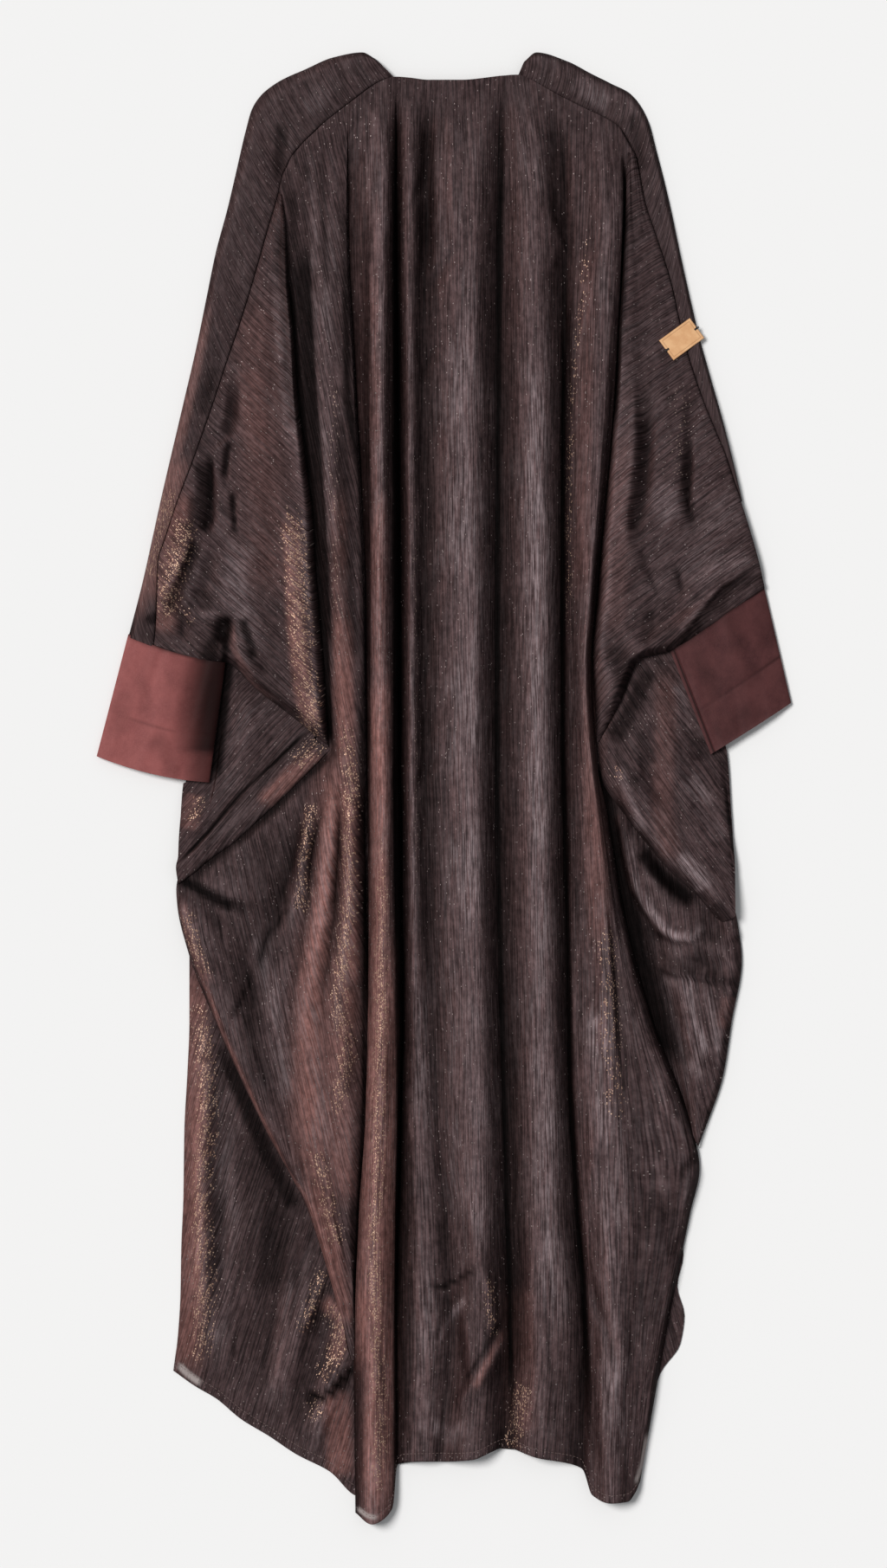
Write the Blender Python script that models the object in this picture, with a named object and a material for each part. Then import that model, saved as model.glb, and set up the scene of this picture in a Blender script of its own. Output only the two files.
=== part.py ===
"""Cape abaya laid flat on its front, back side up.

Each stretch of cloth is one wall: a loft between the cross sections of its folds. A section is a
short row of fold lines, each with its place and the height of its top face. Places are in
millimetres: x from the centre of the back, drop from the highest point of the shoulders.
Layers lie on each other, so each wall also has the height of its underside.
"""
import math
from collections import namedtuple

import bpy
import numpy as np
from mathutils import Vector
from mathutils.bvhtree import BVHTree

MM = 0.001
LENGTH = 1463.0           # shoulder to the lowest point of the hem
WALL = 1.6                # cloth with its crinkle
SEAM_GAP = 0.35           # between pieces that are sewn together
LAYER = 2.1               # one more wall and a little air
CUFF_WALL = 1.8
CUFF_SLIT = 2.6           # the flattened space inside a cuff
LABEL_THICKNESS = 1.2
LABEL_LIFT = 0.5

ON_FLOOR = 0.0
ON_FRONT = LAYER
ON_TWO = 2 * LAYER
ON_THREE = 3 * LAYER
TUCKED = ON_FRONT + WALL  # top of a margin that runs under its neighbour

Fold = namedtuple("Fold", "name top under x")
Crease = namedtuple("Crease", "name height half_width path")

# Seams of the shoulder strips: seam x, seam drop, outer edge x, outer edge drop.
STRIP_LEFT = (
    (-50, 25, -69, 6), (-64, 30, -81, 0), (-95, 52, -110, 5), (-118, 70, -138, 17),
    (-140, 91, -164, 29), (-151, 104, -182, 43), (-160, 123, -191, 57),
    (-164, 140, -197, 78), (-176, 181, -207, 121), (-185, 213, -215, 155),
    (-201, 266, -227, 200), (-215, 307, -236, 244), (-232, 358, -246, 293),
    (-250, 409, -259, 349), (-267, 454, -271, 400), (-276, 482, -281, 443),
    (-284, 508, -288, 475), (-285, 547, -300, 529), (-287, 587, -312.5, 577))
STRIP_RIGHT = (
    (74, 23, 80, 9), (86, 29, 92, 0), (117, 45, 123, 9), (139, 56, 146, 21),
    (158, 65, 166, 31), (174, 75, 185, 41), (191, 104, 203, 68), (195, 123, 211, 97),
    (200, 150, 219, 128), (210, 181, 226, 158), (224, 224, 235, 201), (234, 268, 245, 246),
    (242, 300, 252, 276), (257, 345, 266, 327), (270, 377, 276, 362), (279, 399, 283, 389),
    (290, 428, 293.5, 421), (297, 447, 298.8, 446))

# Inner edges of the sleeves, one point for each seam point from the first that they share.
SLEEVE_LEFT_FIRST = 7
SLEEVE_LEFT_INNER = (
    (-160, 143), (-156, 185), (-154, 233), (-149, 282), (-146, 327), (-141, 375),
    (-135, 418), (-129, 465), (-127, 508), (-123, 555), (-118, 624))
SLEEVE_LEFT_FOOT = (
    (-287, 587), (-263, 596), (-239, 602), (-217, 604), (-186, 634), (-144, 666),
    (-124, 683), (-115, 691))
SLEEVE_RIGHT_FIRST = 6
SLEEVE_RIGHT_INNER = (
    (182, 100), (181, 125), (180, 155), (178, 190), (175, 233), (172, 280), (171, 319),
    (167, 366), (164, 405), (161, 435), (158, 469), (155, 499))
SLEEVE_RIGHT_BELOW_STRIP = ((309, 492, 151, 551), (315, 515, 147, 598))
SLEEVE_RIGHT_FOOT = (
    (318, 530), (301, 541), (280, 553), (258, 566), (227, 592), (194, 605), (175, 647),
    (152, 688))

# Share of the width, height of the top face on open cloth and at the foot.
SLEEVE_PROFILE = (
    (0.00, 8.0, 7.8), (0.15, 9.5, 8.0), (0.32, 11.0, 8.4), (0.46, 12.0, 9.4),
    (0.65, 12.5, 9.6), (0.84, 14.5, 10.0), (0.94, 15.5, 9.6), (1.00, 7.0, 8.4))

SLEEVE_LEFT_CREASES = (
    Crease("elbow trough", -3.0, 9, ((-232, 385), (-236, 470), (-252, 500), (-267, 534), (-279, 566))),
    Crease("elbow ridge", 3.0, 10, ((-247, 470), (-232, 500), (-250, 560))),
    Crease("upper trough", -2.5, 9, ((-203, 305), (-209, 340), (-219, 425))),
    Crease("inner swell", 3.0, 16, ((-148, 300), (-150, 480), (-140, 620))))
SLEEVE_RIGHT_CREASES = (
    Crease("elbow trough", -3.5, 9, ((199, 330), (203, 403), (193, 455), (210, 537))),
    Crease("outer trough", -2.5, 9, ((246, 370), (240, 431), (252, 478))),
    Crease("elbow ridge", 3.0, 11, ((218, 360), (220, 440), (232, 520))))

BACK_DROPS = (155, 327, 551, 605, 680, 710, 749, 860, 964, 1058, 1153, 1273)
BACK_TOP = (
    (-95, 52), (-64, 30), (-50, 25), (-46, 25), (-33, 26), (-16, 28), (19, 28), (57, 24),
    (74, 23), (117, 45), (139, 56), (158, 65), (174, 75), (182, 89), (191, 104))
BACK_HEM = (
    (-88, 1452), (-71, 1463), (-51, 1447), (-46, 1404), (-22, 1401), (-4, 1401), (28, 1399),
    (67, 1382), (99, 1401), (137, 1408), (147, 1434), (166, 1442), (182, 1441), (190, 1432),
    (195, 1421))
RISE_BACK = (0.45, 0.9) + (1,) * 11 + (0.85,)
RIGHT_EDGE_UNDER = (ON_FRONT,) * 6 + (ON_TWO,) * 5 + (ON_FRONT,) * 3
BACK_FOLDS = (
    Fold("roll edge", 5.0, ON_FRONT, (-95, -88, -78, -78, -77, -77, -76, -75, -74, -76, -83, -86)),
    Fold("roll", 17.5, ON_FRONT, (-62, -62, -64, -63, -62, -61, -60, -60, -62, -65, -68, -70)),
    Fold("roll flank", 10.0, ON_FRONT, (-50, -51, -49, -49, -48, -48, -47, -46, -45, -46, -49, -50)),
    Fold("deep groove", 4.0, ON_FRONT, (-48, -45, -43, -43, -43, -43, -42, -41, -40, -43, -45, -47)),
    Fold("narrow ridge", 13.0, ON_FRONT, (-33, -34, -32, -32, -31, -31, -31, -29, -28, -25, -23, -20)),
    Fold("valley", 8.5, ON_FRONT, (-16, -16, -15, -14, -13, -13, -12, -12, -11, -9, -6, -4)),
    Fold("broad ridge", 18.0, ON_FRONT, (19, 19, 20, 21, 22, 22, 23, 25, 27, 28, 29, 30)),
    Fold("sharp groove", 6.0, ON_FRONT, (53, 51, 51, 51, 51, 51, 51, 53, 56, 59, 61, 65)),
    Fold("second ridge", 17.0, ON_FRONT, (84, 86, 89, 89, 90, 90, 91, 92, 94, 96, 98, 99)),
    Fold("right groove", 6.0, ON_FRONT, (119, 117, 115, 115, 116, 116, 117, 118, 120, 123, 130, 139)),
    Fold("small ridge", 12.0, ON_FRONT, (136, 129, 125, 125, 126, 126, 127, 129, 130, 134, 141, 147)),
    Fold("right roll", 19.0, ON_FRONT, (156, 149, 140, 139, 143, 146, 151, 160, 166, 166, 166, 167)),
    Fold("roll slope", (11, 15, 12, 9, 9, 10, 12, 16, 17, 17, 15, 14, 15, 12), ON_FRONT,
         (168, 159, 144, 143, 147, 149.5, 154, 168, 180, 191, 197, 191)),
    Fold("right tuck", (TUCKED,) * 6 + (8, 11, 14, 14, 13, 10, 11, 9), RIGHT_EDGE_UNDER,
         (178, 166, 147, 145.5, 149.5, 151, 156, 173, 198, 228, 234, 213)),
    Fold("right edge", (TUCKED,) * 6 + (7, 8, 8, 8, 8, 6, 6, 5), RIGHT_EDGE_UNDER,
         (187, 175, 155, 153, 151.2, 152.6, 161, 180, 208, 243, 245, 221)))

DRAPE_LEFT_DROPS = (155, 327, 450, 551, 692, 706, 749, 787, 817, 832, 848, 895, 964, 1058, 1153,
                    1239, 1300)
DRAPE_LEFT_TOP = (
    (-164, 140), (-162, 130), (-160, 123), (-155.5, 113.5), (-151, 104), (-145.5, 97.5),
    (-140, 91), (-129, 80.5), (-118, 70), (-95, 52))
RISE_DRAPE_LEFT = (0.5, 0.8) + (1,) * 14 + (0.8, 0.45)
DRAPE_LEFT_FOLDS = (
    Fold("left edge", (TUCKED,) * 11 + (5.5, 6, 6, 6, 6, 6, 4.5), ON_FRONT,
         (-161, -154, -143, -132, -119, -137, -187, -236, -263, -266, -265, -254, -227, -184, -135,
          -108, -93)),
    Fold("left lip", (TUCKED,) * 11 + (11, 12, 12, 12, 12, 11, 6), ON_FRONT,
         (-157, -144, -129.5, -122, -112, -123, -166, -214, -248, -256, -257, -244, -217, -175,
          -129, -104, -92.5)),
    Fold("swell", (5, 6, 7, 7, 7, 6, 5, 7, 7, 7, 9, 9.5, 10, 11, 11, 10, 9, 7), ON_FRONT,
         (-153, -140, -127, -119, -111, -121, -151, -191, -215, -222, -226, -224, -203, -167, -124,
          -101, -92)),
    Fold("valley", (5, 5, 5.5, 5.5, 5.5, 5, 5, 5.5, 6, 6, 6.5, 7, 8, 8, 9, 9, 8, 7), ON_FRONT,
         (-148, -136, -124, -117, -109.5, -117, -140, -147, -154, -159, -164, -180, -190, -159,
          -121, -99, -91.5)),
    Fold("glint ridge", (8, 8, 7, 7, 7, 6, 7, 10, 12, 13, 13, 13, 13, 12, 11, 10, 9, 7), ON_FRONT,
         (-143, -133, -121, -115, -108, -114, -129, -138, -142, -144, -147, -154, -164, -150, -118,
          -97, -91)),
    Fold("glint dip", (6, 6, 6, 6, 6, 5.5, 6, 8, 9, 9.5, 10, 10, 10, 10, 10, 9.5, 9, 7), ON_FRONT,
         (-138, -129, -119, -112, -106, -111, -120, -129, -133, -134, -136, -143, -152, -145, -116,
          -96, -90.5)),
    Fold("fan ridge", (9, 9, 9, 9, 10, 10, 12, 15, 16, 17, 17, 17, 17, 16, 14, 12, 9, 7), ON_FRONT,
         (-133, -124, -115, -109, -103.5, -107, -111, -114, -117, -118, -120, -128, -138, -138,
          -112, -94.5, -90)),
    Fold("fan valley", (9, 8, 8, 8, 8, 8, 8.5, 9, 10, 10, 10, 10, 10, 10, 10, 9, 8, 7), ON_FRONT,
         (-126, -117, -110, -104, -100, -102, -103, -104, -106, -107, -108, -114, -123, -120, -107,
          -92, -89.5)),
    Fold("fan roll", (13, 14, 15, 15.5, 16, 16, 16, 16, 16, 16, 16, 16, 16, 16, 15, 13, 10, 7),
         ON_FRONT,
         (-117, -107, -101, -96, -93, -94, -92, -93, -93, -93, -93, -98, -104, -98, -97, -90, -89)),
    Fold("fan foot", (7, 6) + (5,) * 13 + (5, 4.5, 4.5), ON_FRONT,
         (-97, -90, -84, -80, -79, -79, -78, -78, -77, -77, -77, -76, -76, -78, -85.5, -87.8,
          -88.4)))

DRAPE_RIGHT_DROPS = (714, 749, 787, 817, 843, 866, 903, 964, 1015)
DRAPE_RIGHT_FOOT = (
    (236, 1066), (245, 1072), (248, 1078), (250.5, 1084), (252, 1087), (252.6, 1089))
DRAPE_RIGHT_FOLDS = (
    Fold("hidden edge", TUCKED, ON_FRONT, (147, 154, 160, 166, 171, 174, 184, 201, 218)),
    Fold("tuck", TUCKED, ON_FRONT, (156, 162, 169.5, 176, 181.5, 187, 197, 213, 231)),
    Fold("hollow", (3.7, 3.8, 4, 4.5, 5, 5, 5.5, 6, 6.5, 6), ON_FRONT,
         (159, 168, 180, 191, 200, 206, 215, 226, 240)),
    Fold("swell", (3.7, 3.9, 6, 8, 9, 10, 11, 11, 10, 7), ON_FRONT,
         (162, 174, 190, 204, 218, 232, 239, 247, 253)),
    Fold("outer swell", (TUCKED,) * 6 + (10, 9.5, 9, 7), ON_FRONT,
         (165, 182, 207, 229, 250, 270, 283, 275, 268)),
    Fold("outer edge", (TUCKED,) * 6 + (5, 5, 5, 5), ON_FRONT,
         (167, 188, 219, 245, 271, 291, 296, 286, 278)))

# Underarm walls: one row of points across the fold for each section, from the hidden edge to the
# fold's own edge, which lies on the drape.
UNDERARM_LEFT_TOPS = (TUCKED, TUCKED, (5, 6) + (6.5,) * 6, 5.5, (5.8, 11) + (12.5,) * 6,
                      (5.8,) + (7.5,) * 7)
UNDERARM_LEFT_UNDERS = (ON_FRONT, ON_FRONT, ON_FRONT, ON_FRONT, ON_TWO, ON_TWO)
UNDERARM_LEFT = (
    ((-124, 676), (-126, 678), (-128, 680), (-129, 682), (-121, 689), (-114, 694)),
    ((-153, 650), (-151, 663), (-149, 677), (-148, 690), (-141, 707), (-134, 715)),
    ((-183, 622), (-180, 642), (-173, 675), (-167, 705), (-167, 730), (-160, 741)),
    ((-215, 590), (-208, 608), (-198, 665), (-187, 721), (-191, 751), (-183, 762)),
    ((-239, 611), (-215, 630), (-211, 690), (-207, 743), (-215, 772), (-209, 786)),
    ((-241, 663), (-222, 679), (-224, 722), (-227, 765), (-236, 787), (-232, 802)),
    ((-246, 719), (-232, 731), (-239, 762), (-247, 790), (-253, 803), (-250, 817)),
    ((-259, 727), (-260, 736), (-262, 768), (-264, 800), (-266, 811), (-264, 827)))
UNDERARM_RIGHT_TOPS = (TUCKED, TUCKED, (5, 7) + (8,) * 5, (5.8, 10) + (13,) * 5,
                       (5.8,) + (7.5,) * 6)
UNDERARM_RIGHT_UNDERS = (ON_FRONT, ON_FRONT, ON_FRONT, ON_TWO, ON_TWO)
UNDERARM_RIGHT = (
    ((156, 676), (155.5, 679), (155, 682), (154, 685), (152.5, 689)),
    ((191, 598), (190, 611), (182, 663), (164, 707), (157, 723)),
    ((220, 582), (218, 600), (210, 680), (184, 744), (177, 755)),
    ((245, 618), (232, 631), (236, 714), (210, 779), (203, 789)),
    ((263, 671), (251, 686), (258, 749), (237, 809), (229, 819)),
    ((280, 690), (275, 706), (277, 770), (258, 828), (252, 839)),
    ((286, 762), (287, 778), (289, 815), (292, 859), (274, 866)))

UNDERARM_RIGHT_CREASES = (
    Crease("light band", 3.5, 14, ((212, 650), (236, 740), (262, 800))),
    Crease("dark fold", -3.0, 8, ((196, 680), (208, 735), (214, 765))))

FRONT_LEFT_DROPS = (61, 147, 241, 336, 430, 508, 575, 605, 680, 727, 792, 843, 895, 964, 1015, 1072,
                    1139, 1187, 1239, 1282)
FRONT_LEFT_OUTER = (-184, -209, -229, -250, -272, -289, -306, -215, -234, -257, -264, -265, -253,
                    -253, -255, -258, -259, -261, -262, -265)
FRONT_LEFT_OPENING = (-48, -40, -30, -19, -11, -7, -5) + (-4,) * 13
FRONT_LEFT_TOP = (
    (-183, 51), (-164, 36), (-144, 26), (-124, 18), (-110, 12), (-95, 7), (-83, 7), (-73, 12),
    (-70, 14), (-66, 19))
FRONT_LEFT_HEM = (
    (-269, 1311), (-248, 1326), (-226, 1339), (-202, 1359), (-174, 1376), (-147, 1394),
    (-114, 1411), (-84, 1436), (-52, 1396), (-4, 1393))
FRONT_LEFT_SHARES = (0, 0.09, 0.18, 0.28, 0.38, 0.48, 0.6, 0.74, 0.86, 1)
FRONT_LEFT_CREASES = (
    Crease("edge swell", 5.0, 13, ((-238, 930), (-240, 1100), (-238, 1240), (-226, 1300))),
    Crease("middle swell", 6.0, 15, ((-190, 1110), (-204, 1230), (-212, 1320))),
    Crease("lower swell", 7.0, 14, ((-128, 1190), (-150, 1290), (-168, 1350))),
    Crease("pocket roll", 7.0, 9, ((-110, 1312), (-118, 1350), (-130, 1385))))
FRONT_RIGHT_DROPS = (61, 147, 241, 336, 430, 499, 528, 549, 566, 581, 592, 680, 733, 792, 861, 903,
                     938, 966, 1005, 1032, 1061, 1088, 1111, 1144, 1169, 1196, 1227, 1256, 1284,
                     1314)
FRONT_RIGHT_OUTER = (191, 214, 239, 263, 287, 305, 312, 293, 269, 246, 227, 263, 282, 286, 289, 294,
                     289, 282, 278, 270, 261, 250, 250, 245, 237, 238, 232, 239, 235, 215)
FRONT_RIGHT_OPENING = (60, 50, 38, 25, 14, 8, 6) + (4,) * 23
FRONT_RIGHT_TOP = ((86, 21), (92, 12), (110, 9), (129, 18), (147, 27), (166, 36), (185, 47))
FRONT_RIGHT_HEM = ((4, 1394), (41, 1388), (75, 1390), (110, 1399), (137, 1404), (161, 1430),
                   (189, 1423))
FRONT_RIGHT_SHARES = (0, 0.17, 0.34, 0.5, 0.66, 0.83, 1)

# Corners of the cuffs: two at the sleeve, two at the wrist, each pair left to right.
CUFF_LEFT_CORNERS = ((-313.5, 578.5), (-217, 607), (-345, 700), (-233, 726))
CUFF_RIGHT_CORNERS = ((225, 596), (318, 531), (265, 698), (345, 647))
CUFF_LEFT_STEP = (0.40, 0.62)
CUFF_RIGHT_STEP = (0.80, 0.58)
CUFF_BOW = 3.4

LABEL_CENTRE = (236, 286)
LABEL_LENGTH = 38.5
LABEL_WIDTH = 24.5
LABEL_TILT = 36.5

CLOTH = ("crinkled plum cloth", (0.066, 0.046, 0.045), 0.62, 0.15)
STRIP = ("plum cloth across", (0.060, 0.044, 0.044), 0.66, 0.12)
CUFF = ("maroon satin", (0.120, 0.032, 0.032), 0.48, 0.0)
LEATHER = ("tan leather", (0.640, 0.360, 0.170), 0.55, 0.0)


def clear_scene():
    for item in list(bpy.data.objects):
        bpy.data.objects.remove(item, do_unlink=True)


def make_material(name, colour, roughness, metallic):
    material = bpy.data.materials.new(name)
    material.use_nodes = True
    shader = material.node_tree.nodes["Principled BSDF"]
    shader.inputs["Base Color"].default_value = (*colour, 1)
    shader.inputs["Roughness"].default_value = roughness
    shader.inputs["Metallic"].default_value = metallic
    return material


def to_world(x, drop, height):
    return (x * MM, (LENGTH / 2 - drop) * MM, height * MM)


def at_level(value, level):
    return value[level] if isinstance(value, tuple) else value


def mix(a, b, share):
    return a + (b - a) * share


def ease(share, rising):
    """Height between two fold lines: round on the ridge, tighter in the groove."""
    t = share if rising else 1 - share
    s = 0.45 * t * t * (3 - 2 * t) + 0.55 * math.sin(0.5 * math.pi * t)
    return s if rising else 1 - s


def crease_height(crease, x, drop):
    """Height that one ridge or trough adds at a place, fading towards its ends."""
    best = 0.0
    runs = len(crease.path) - 1
    for run in range(runs):
        (x0, d0), (x1, d1) = crease.path[run], crease.path[run + 1]
        length2 = (x1 - x0) ** 2 + (d1 - d0) ** 2
        t = max(0.0, min(1.0, ((x - x0) * (x1 - x0) + (drop - d0) * (d1 - d0)) / length2))
        off = math.hypot(x - mix(x0, x1, t), drop - mix(d0, d1, t)) / crease.half_width
        along = (run + t) / runs
        taper = min(1.0, 4 * along + 0.25, 4 * (1 - along) + 0.25)
        best = max(best, taper * math.exp(-off * off))
    return crease.height * best


def fold_grid(lines, tops, unders, across, along, creases):
    """Places, top heights and underside heights of a wall, as arrays of rows by columns."""
    places = []
    top_rows = []
    under_rows = []
    last = len(lines) - 1
    for level in range(len(lines)):
        steps = 1 if level == last else along
        for step in range(steps):
            v = step / steps
            below = min(level + 1, last)
            row = []
            heights = []
            undersides = []
            points = [(mix(p[0], q[0], v), mix(p[1], q[1], v))
                      for p, q in zip(lines[level], lines[below])]
            crest = [mix(at_level(t, level), at_level(t, below), v) for t in tops]
            floor = [mix(at_level(u, level), at_level(u, below), v) for u in unders]
            for k in range(len(points) - 1):
                for j in range(across):
                    u = j / across
                    x = mix(points[k][0], points[k + 1][0], u)
                    drop = mix(points[k][1], points[k + 1][1], u)
                    height = mix(crest[k], crest[k + 1], ease(u, crest[k + 1] > crest[k]))
                    row.append((x, drop))
                    heights.append(height + sum(crease_height(c, x, drop) for c in creases))
                    undersides.append(mix(floor[k], floor[k + 1], u))
            row.append(points[-1])
            heights.append(crest[-1])
            undersides.append(floor[-1])
            places.append(row)
            top_rows.append(heights)
            under_rows.append(undersides)
    places = np.array(places)
    under = np.array(under_rows)
    top = np.maximum(np.array(top_rows), under + WALL)
    return places, top, under


def underside(places, top, under):
    """The wall's lower face: one wall below the top face, but no lower than what it lies on."""
    x = places[:, :, 0]
    drop = places[:, :, 1]
    dz_v, dz_u = np.gradient(top)
    dx_v, dx_u = np.gradient(x)
    dd_v, dd_u = np.gradient(drop)
    normal = np.cross(np.stack([dx_u, dd_u, dz_u], -1), np.stack([dx_v, dd_v, dz_v], -1))
    upright = np.abs(normal[:, :, 2]) / np.maximum(np.linalg.norm(normal, axis=2), 1e-9)
    return np.maximum(top - WALL / np.maximum(upright, 0.5), under)


def close_wall(name, places, top, bottom, collection, material):
    """One closed body from the two faces of a wall and the band round its edge."""
    rows, columns = top.shape
    upper = [to_world(*places[i, j], top[i, j]) for i in range(rows) for j in range(columns)]
    lower = [to_world(*places[i, j], bottom[i, j]) for i in range(rows) for j in range(columns)]
    count = rows * columns
    faces = []
    for i in range(rows - 1):
        for j in range(columns - 1):
            a = i * columns + j
            quad = (a, a + columns, a + columns + 1, a + 1)
            faces.append(quad)
            faces.append(tuple(count + k for k in reversed(quad)))
    rim = [j for j in range(columns)]
    rim += [i * columns + columns - 1 for i in range(1, rows)]
    rim += [(rows - 1) * columns + j for j in range(columns - 2, -1, -1)]
    rim += [i * columns for i in range(rows - 2, 0, -1)]
    for k, a in enumerate(rim):
        b = rim[(k + 1) % len(rim)]
        faces.append((a, b, count + b, count + a))
    loop = [upper[k] for k in rim]
    turn = sum(p[0] * q[1] - q[0] * p[1] for p, q in zip(loop, loop[1:] + loop[:1]))
    if turn > 0:
        faces = [tuple(reversed(face)) for face in faces]
    mesh = bpy.data.meshes.new(name)
    mesh.from_pydata(upper + lower, [], faces)
    mesh.materials.append(material)
    mesh.shade_smooth()
    mesh.set_sharp_from_angle(angle=math.radians(50))
    item = bpy.data.objects.new(name, mesh)
    collection.objects.link(item)
    return item


def cloth_wall(name, lines, tops, unders, collection, material, across=2, along=1, creases=()):
    places, top, under = fold_grid(lines, tops, unders, across, along, creases)
    return close_wall(name, places, top, underside(places, top, under), collection, material)


def shifted(point, towards, distance):
    """A point moved a short way towards another."""
    reach = math.dist(point, towards)
    return (mix(point[0], towards[0], distance / reach), mix(point[1], towards[1], distance / reach))


def shoulder_strip(name, rows, collection, material):
    """The band over one shoulder, from the seam down to the fold at the sleeve's outer edge."""
    shares = (0.0, 0.35, 0.78, 1.0)
    lines = []
    for seam_x, seam_drop, edge_x, edge_drop in rows:
        seam = shifted((seam_x, seam_drop), (edge_x, edge_drop), SEAM_GAP / 2)
        lines.append([(mix(seam[0], edge_x, s), mix(seam[1], edge_drop, s)) for s in shares])
    last = len(lines)
    crest = tuple(mix(9.0, 12.0, min(1, 6 * i / last)) for i in range(last))
    tops = ((6.5,) + (7.8,) * (last - 1), crest, 9.5, 3.4)
    unders = (ON_FRONT, ON_FRONT, ON_FRONT, ON_FLOOR)
    return cloth_wall(name, lines, tops, unders, collection, material)


def sleeve(name, rows, foot, under_foot, creases, collection, material):
    """One wing of the cape between the strip's seam and the deep fold beside the back."""
    shares = [row[0] for row in SLEEVE_PROFILE]
    lines = []
    for seam_x, seam_drop, inner_x, inner_drop in rows:
        seam = shifted((seam_x, seam_drop), (inner_x, inner_drop), SEAM_GAP / 2)
        lines.append([(mix(seam[0], inner_x, s), mix(seam[1], inner_drop, s)) for s in shares])
    fold_share = 0.7
    above = lines[-1]
    lines.append([(mix(p[0], q[0], fold_share), mix(p[1], q[1], fold_share))
                  for p, q in zip(above, foot)])
    lines.append(list(foot))
    count = len(lines)
    tops = []
    unders = []
    for k, (share, open_top, foot_top) in enumerate(SLEEVE_PROFILE):
        over_underarm = under_foot[k] > ON_FRONT
        fold_top = open_top + (3.5 if over_underarm else -1.5)
        rise = [mix(0.55, 1.0, min(1.0, 3 * i / count)) for i in range(count - 2)]
        low = 6.2 if share < 1 else open_top
        tops.append(tuple(mix(low, open_top, r) for r in rise) + (fold_top, foot_top))
        inner = ON_TWO if share == 1.0 else ON_FRONT
        unders.append((inner,) * (count - 3) + (max(inner, min(under_foot[k], ON_TWO)),)
                      + (under_foot[k],) * 2)
    return cloth_wall(name, lines, tuple(tops), tuple(unders), collection, material,
                      creases=creases)


def folded_panel(name, drops, folds, top_line, hem_line, rise, collection, material, along=1):
    """A wall whose sections run straight across, with its own top and hem lines."""
    lines = [[(fold.x[i], drop) for fold in folds] for i, drop in enumerate(drops)]
    if top_line:
        lines.insert(0, list(top_line))
    if hem_line:
        lines.append(list(hem_line))
    tops = []
    for fold in folds:
        heights = [at_level(fold.top, i) for i in range(len(lines))]
        tops.append(tuple(mix(TUCKED, h, r) if h > TUCKED else h for h, r in zip(heights, rise)))
    unders = tuple(fold.under for fold in folds)
    return cloth_wall(name, lines, tuple(tops), unders, collection, material, along=along)


def front_panel(name, drops, outer, opening, shares, top_line, hem_line, collection, material,
                creases=()):
    """One front, flat on the floor, its edge just inside what lies on it."""
    lines = [list(top_line)]
    for drop, edge, middle in zip(drops, outer, opening):
        lines.append([(mix(edge, middle, s), drop) for s in shares])
    lines.append(list(hem_line))
    tops = (WALL,) * len(shares)
    unders = (ON_FLOOR,) * len(shares)
    return cloth_wall(name, lines, tops, unders, collection, material, across=2 if creases else 1,
                      creases=creases)


def cuff(name, corners, step, collection, material):
    """A flattened tube, raised where it lies on the underarm's fold."""
    stations = 7
    columns = 14
    sleeve_a, sleeve_b, wrist_a, wrist_b = corners
    half = CUFF_WALL + CUFF_SLIT / 2

    def ring(v, inset, half_height):
        a = (mix(sleeve_a[0], wrist_a[0], v), mix(sleeve_a[1], wrist_a[1], v))
        b = (mix(sleeve_b[0], wrist_b[0], v), mix(sleeve_b[1], wrist_b[1], v))
        width = math.dist(a, b)
        upper = []
        lower = []
        for j in range(columns + 1):
            u = mix(inset / width, 1 - inset / width, 0.5 - 0.5 * math.cos(math.pi * j / columns))
            raised = max(0.0, min(1.0, (u - step[0]) / (step[1] - step[0])))
            middle = half + (ON_TWO - ON_FLOOR) * raised * raised * (3 - 2 * raised)
            bow = CUFF_BOW * 4 * u * (1 - u)
            spread = 1 - abs(2 * j / columns - 1) ** 5
            rise = half_height * max(0.18, spread)
            x = mix(a[0], b[0], u)
            drop = mix(a[1], b[1], u) + bow
            upper.append(to_world(x, drop, middle + rise))
            lower.append(to_world(x, drop, middle - rise))
        return upper + lower[::-1]

    shells = [[ring(v / (stations - 1), inset, height) for v in range(stations)]
              for inset, height in ((0.0, half), (2.5, CUFF_SLIT / 2))]
    size = len(shells[0][0])
    vertices = [p for shell in shells for row in shell for p in row]
    faces = []
    for side in range(2):
        start = side * stations * size
        for v in range(stations - 1):
            for k in range(size):
                a = start + v * size + k
                b = start + v * size + (k + 1) % size
                quad = (a, a + size, b + size, b)
                faces.append(quad if side == 0 else tuple(reversed(quad)))
    for v in (0, stations - 1):
        for k in range(size):
            a = v * size + k
            b = v * size + (k + 1) % size
            quad = (a, b, b + stations * size, a + stations * size)
            faces.append(quad if v == 0 else tuple(reversed(quad)))
    mesh = bpy.data.meshes.new(name)
    mesh.from_pydata(vertices, [], faces)
    mesh.materials.append(material)
    mesh.shade_smooth()
    mesh.set_sharp_from_angle(angle=math.radians(40))
    item = bpy.data.objects.new(name, mesh)
    collection.objects.link(item)
    return item


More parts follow.
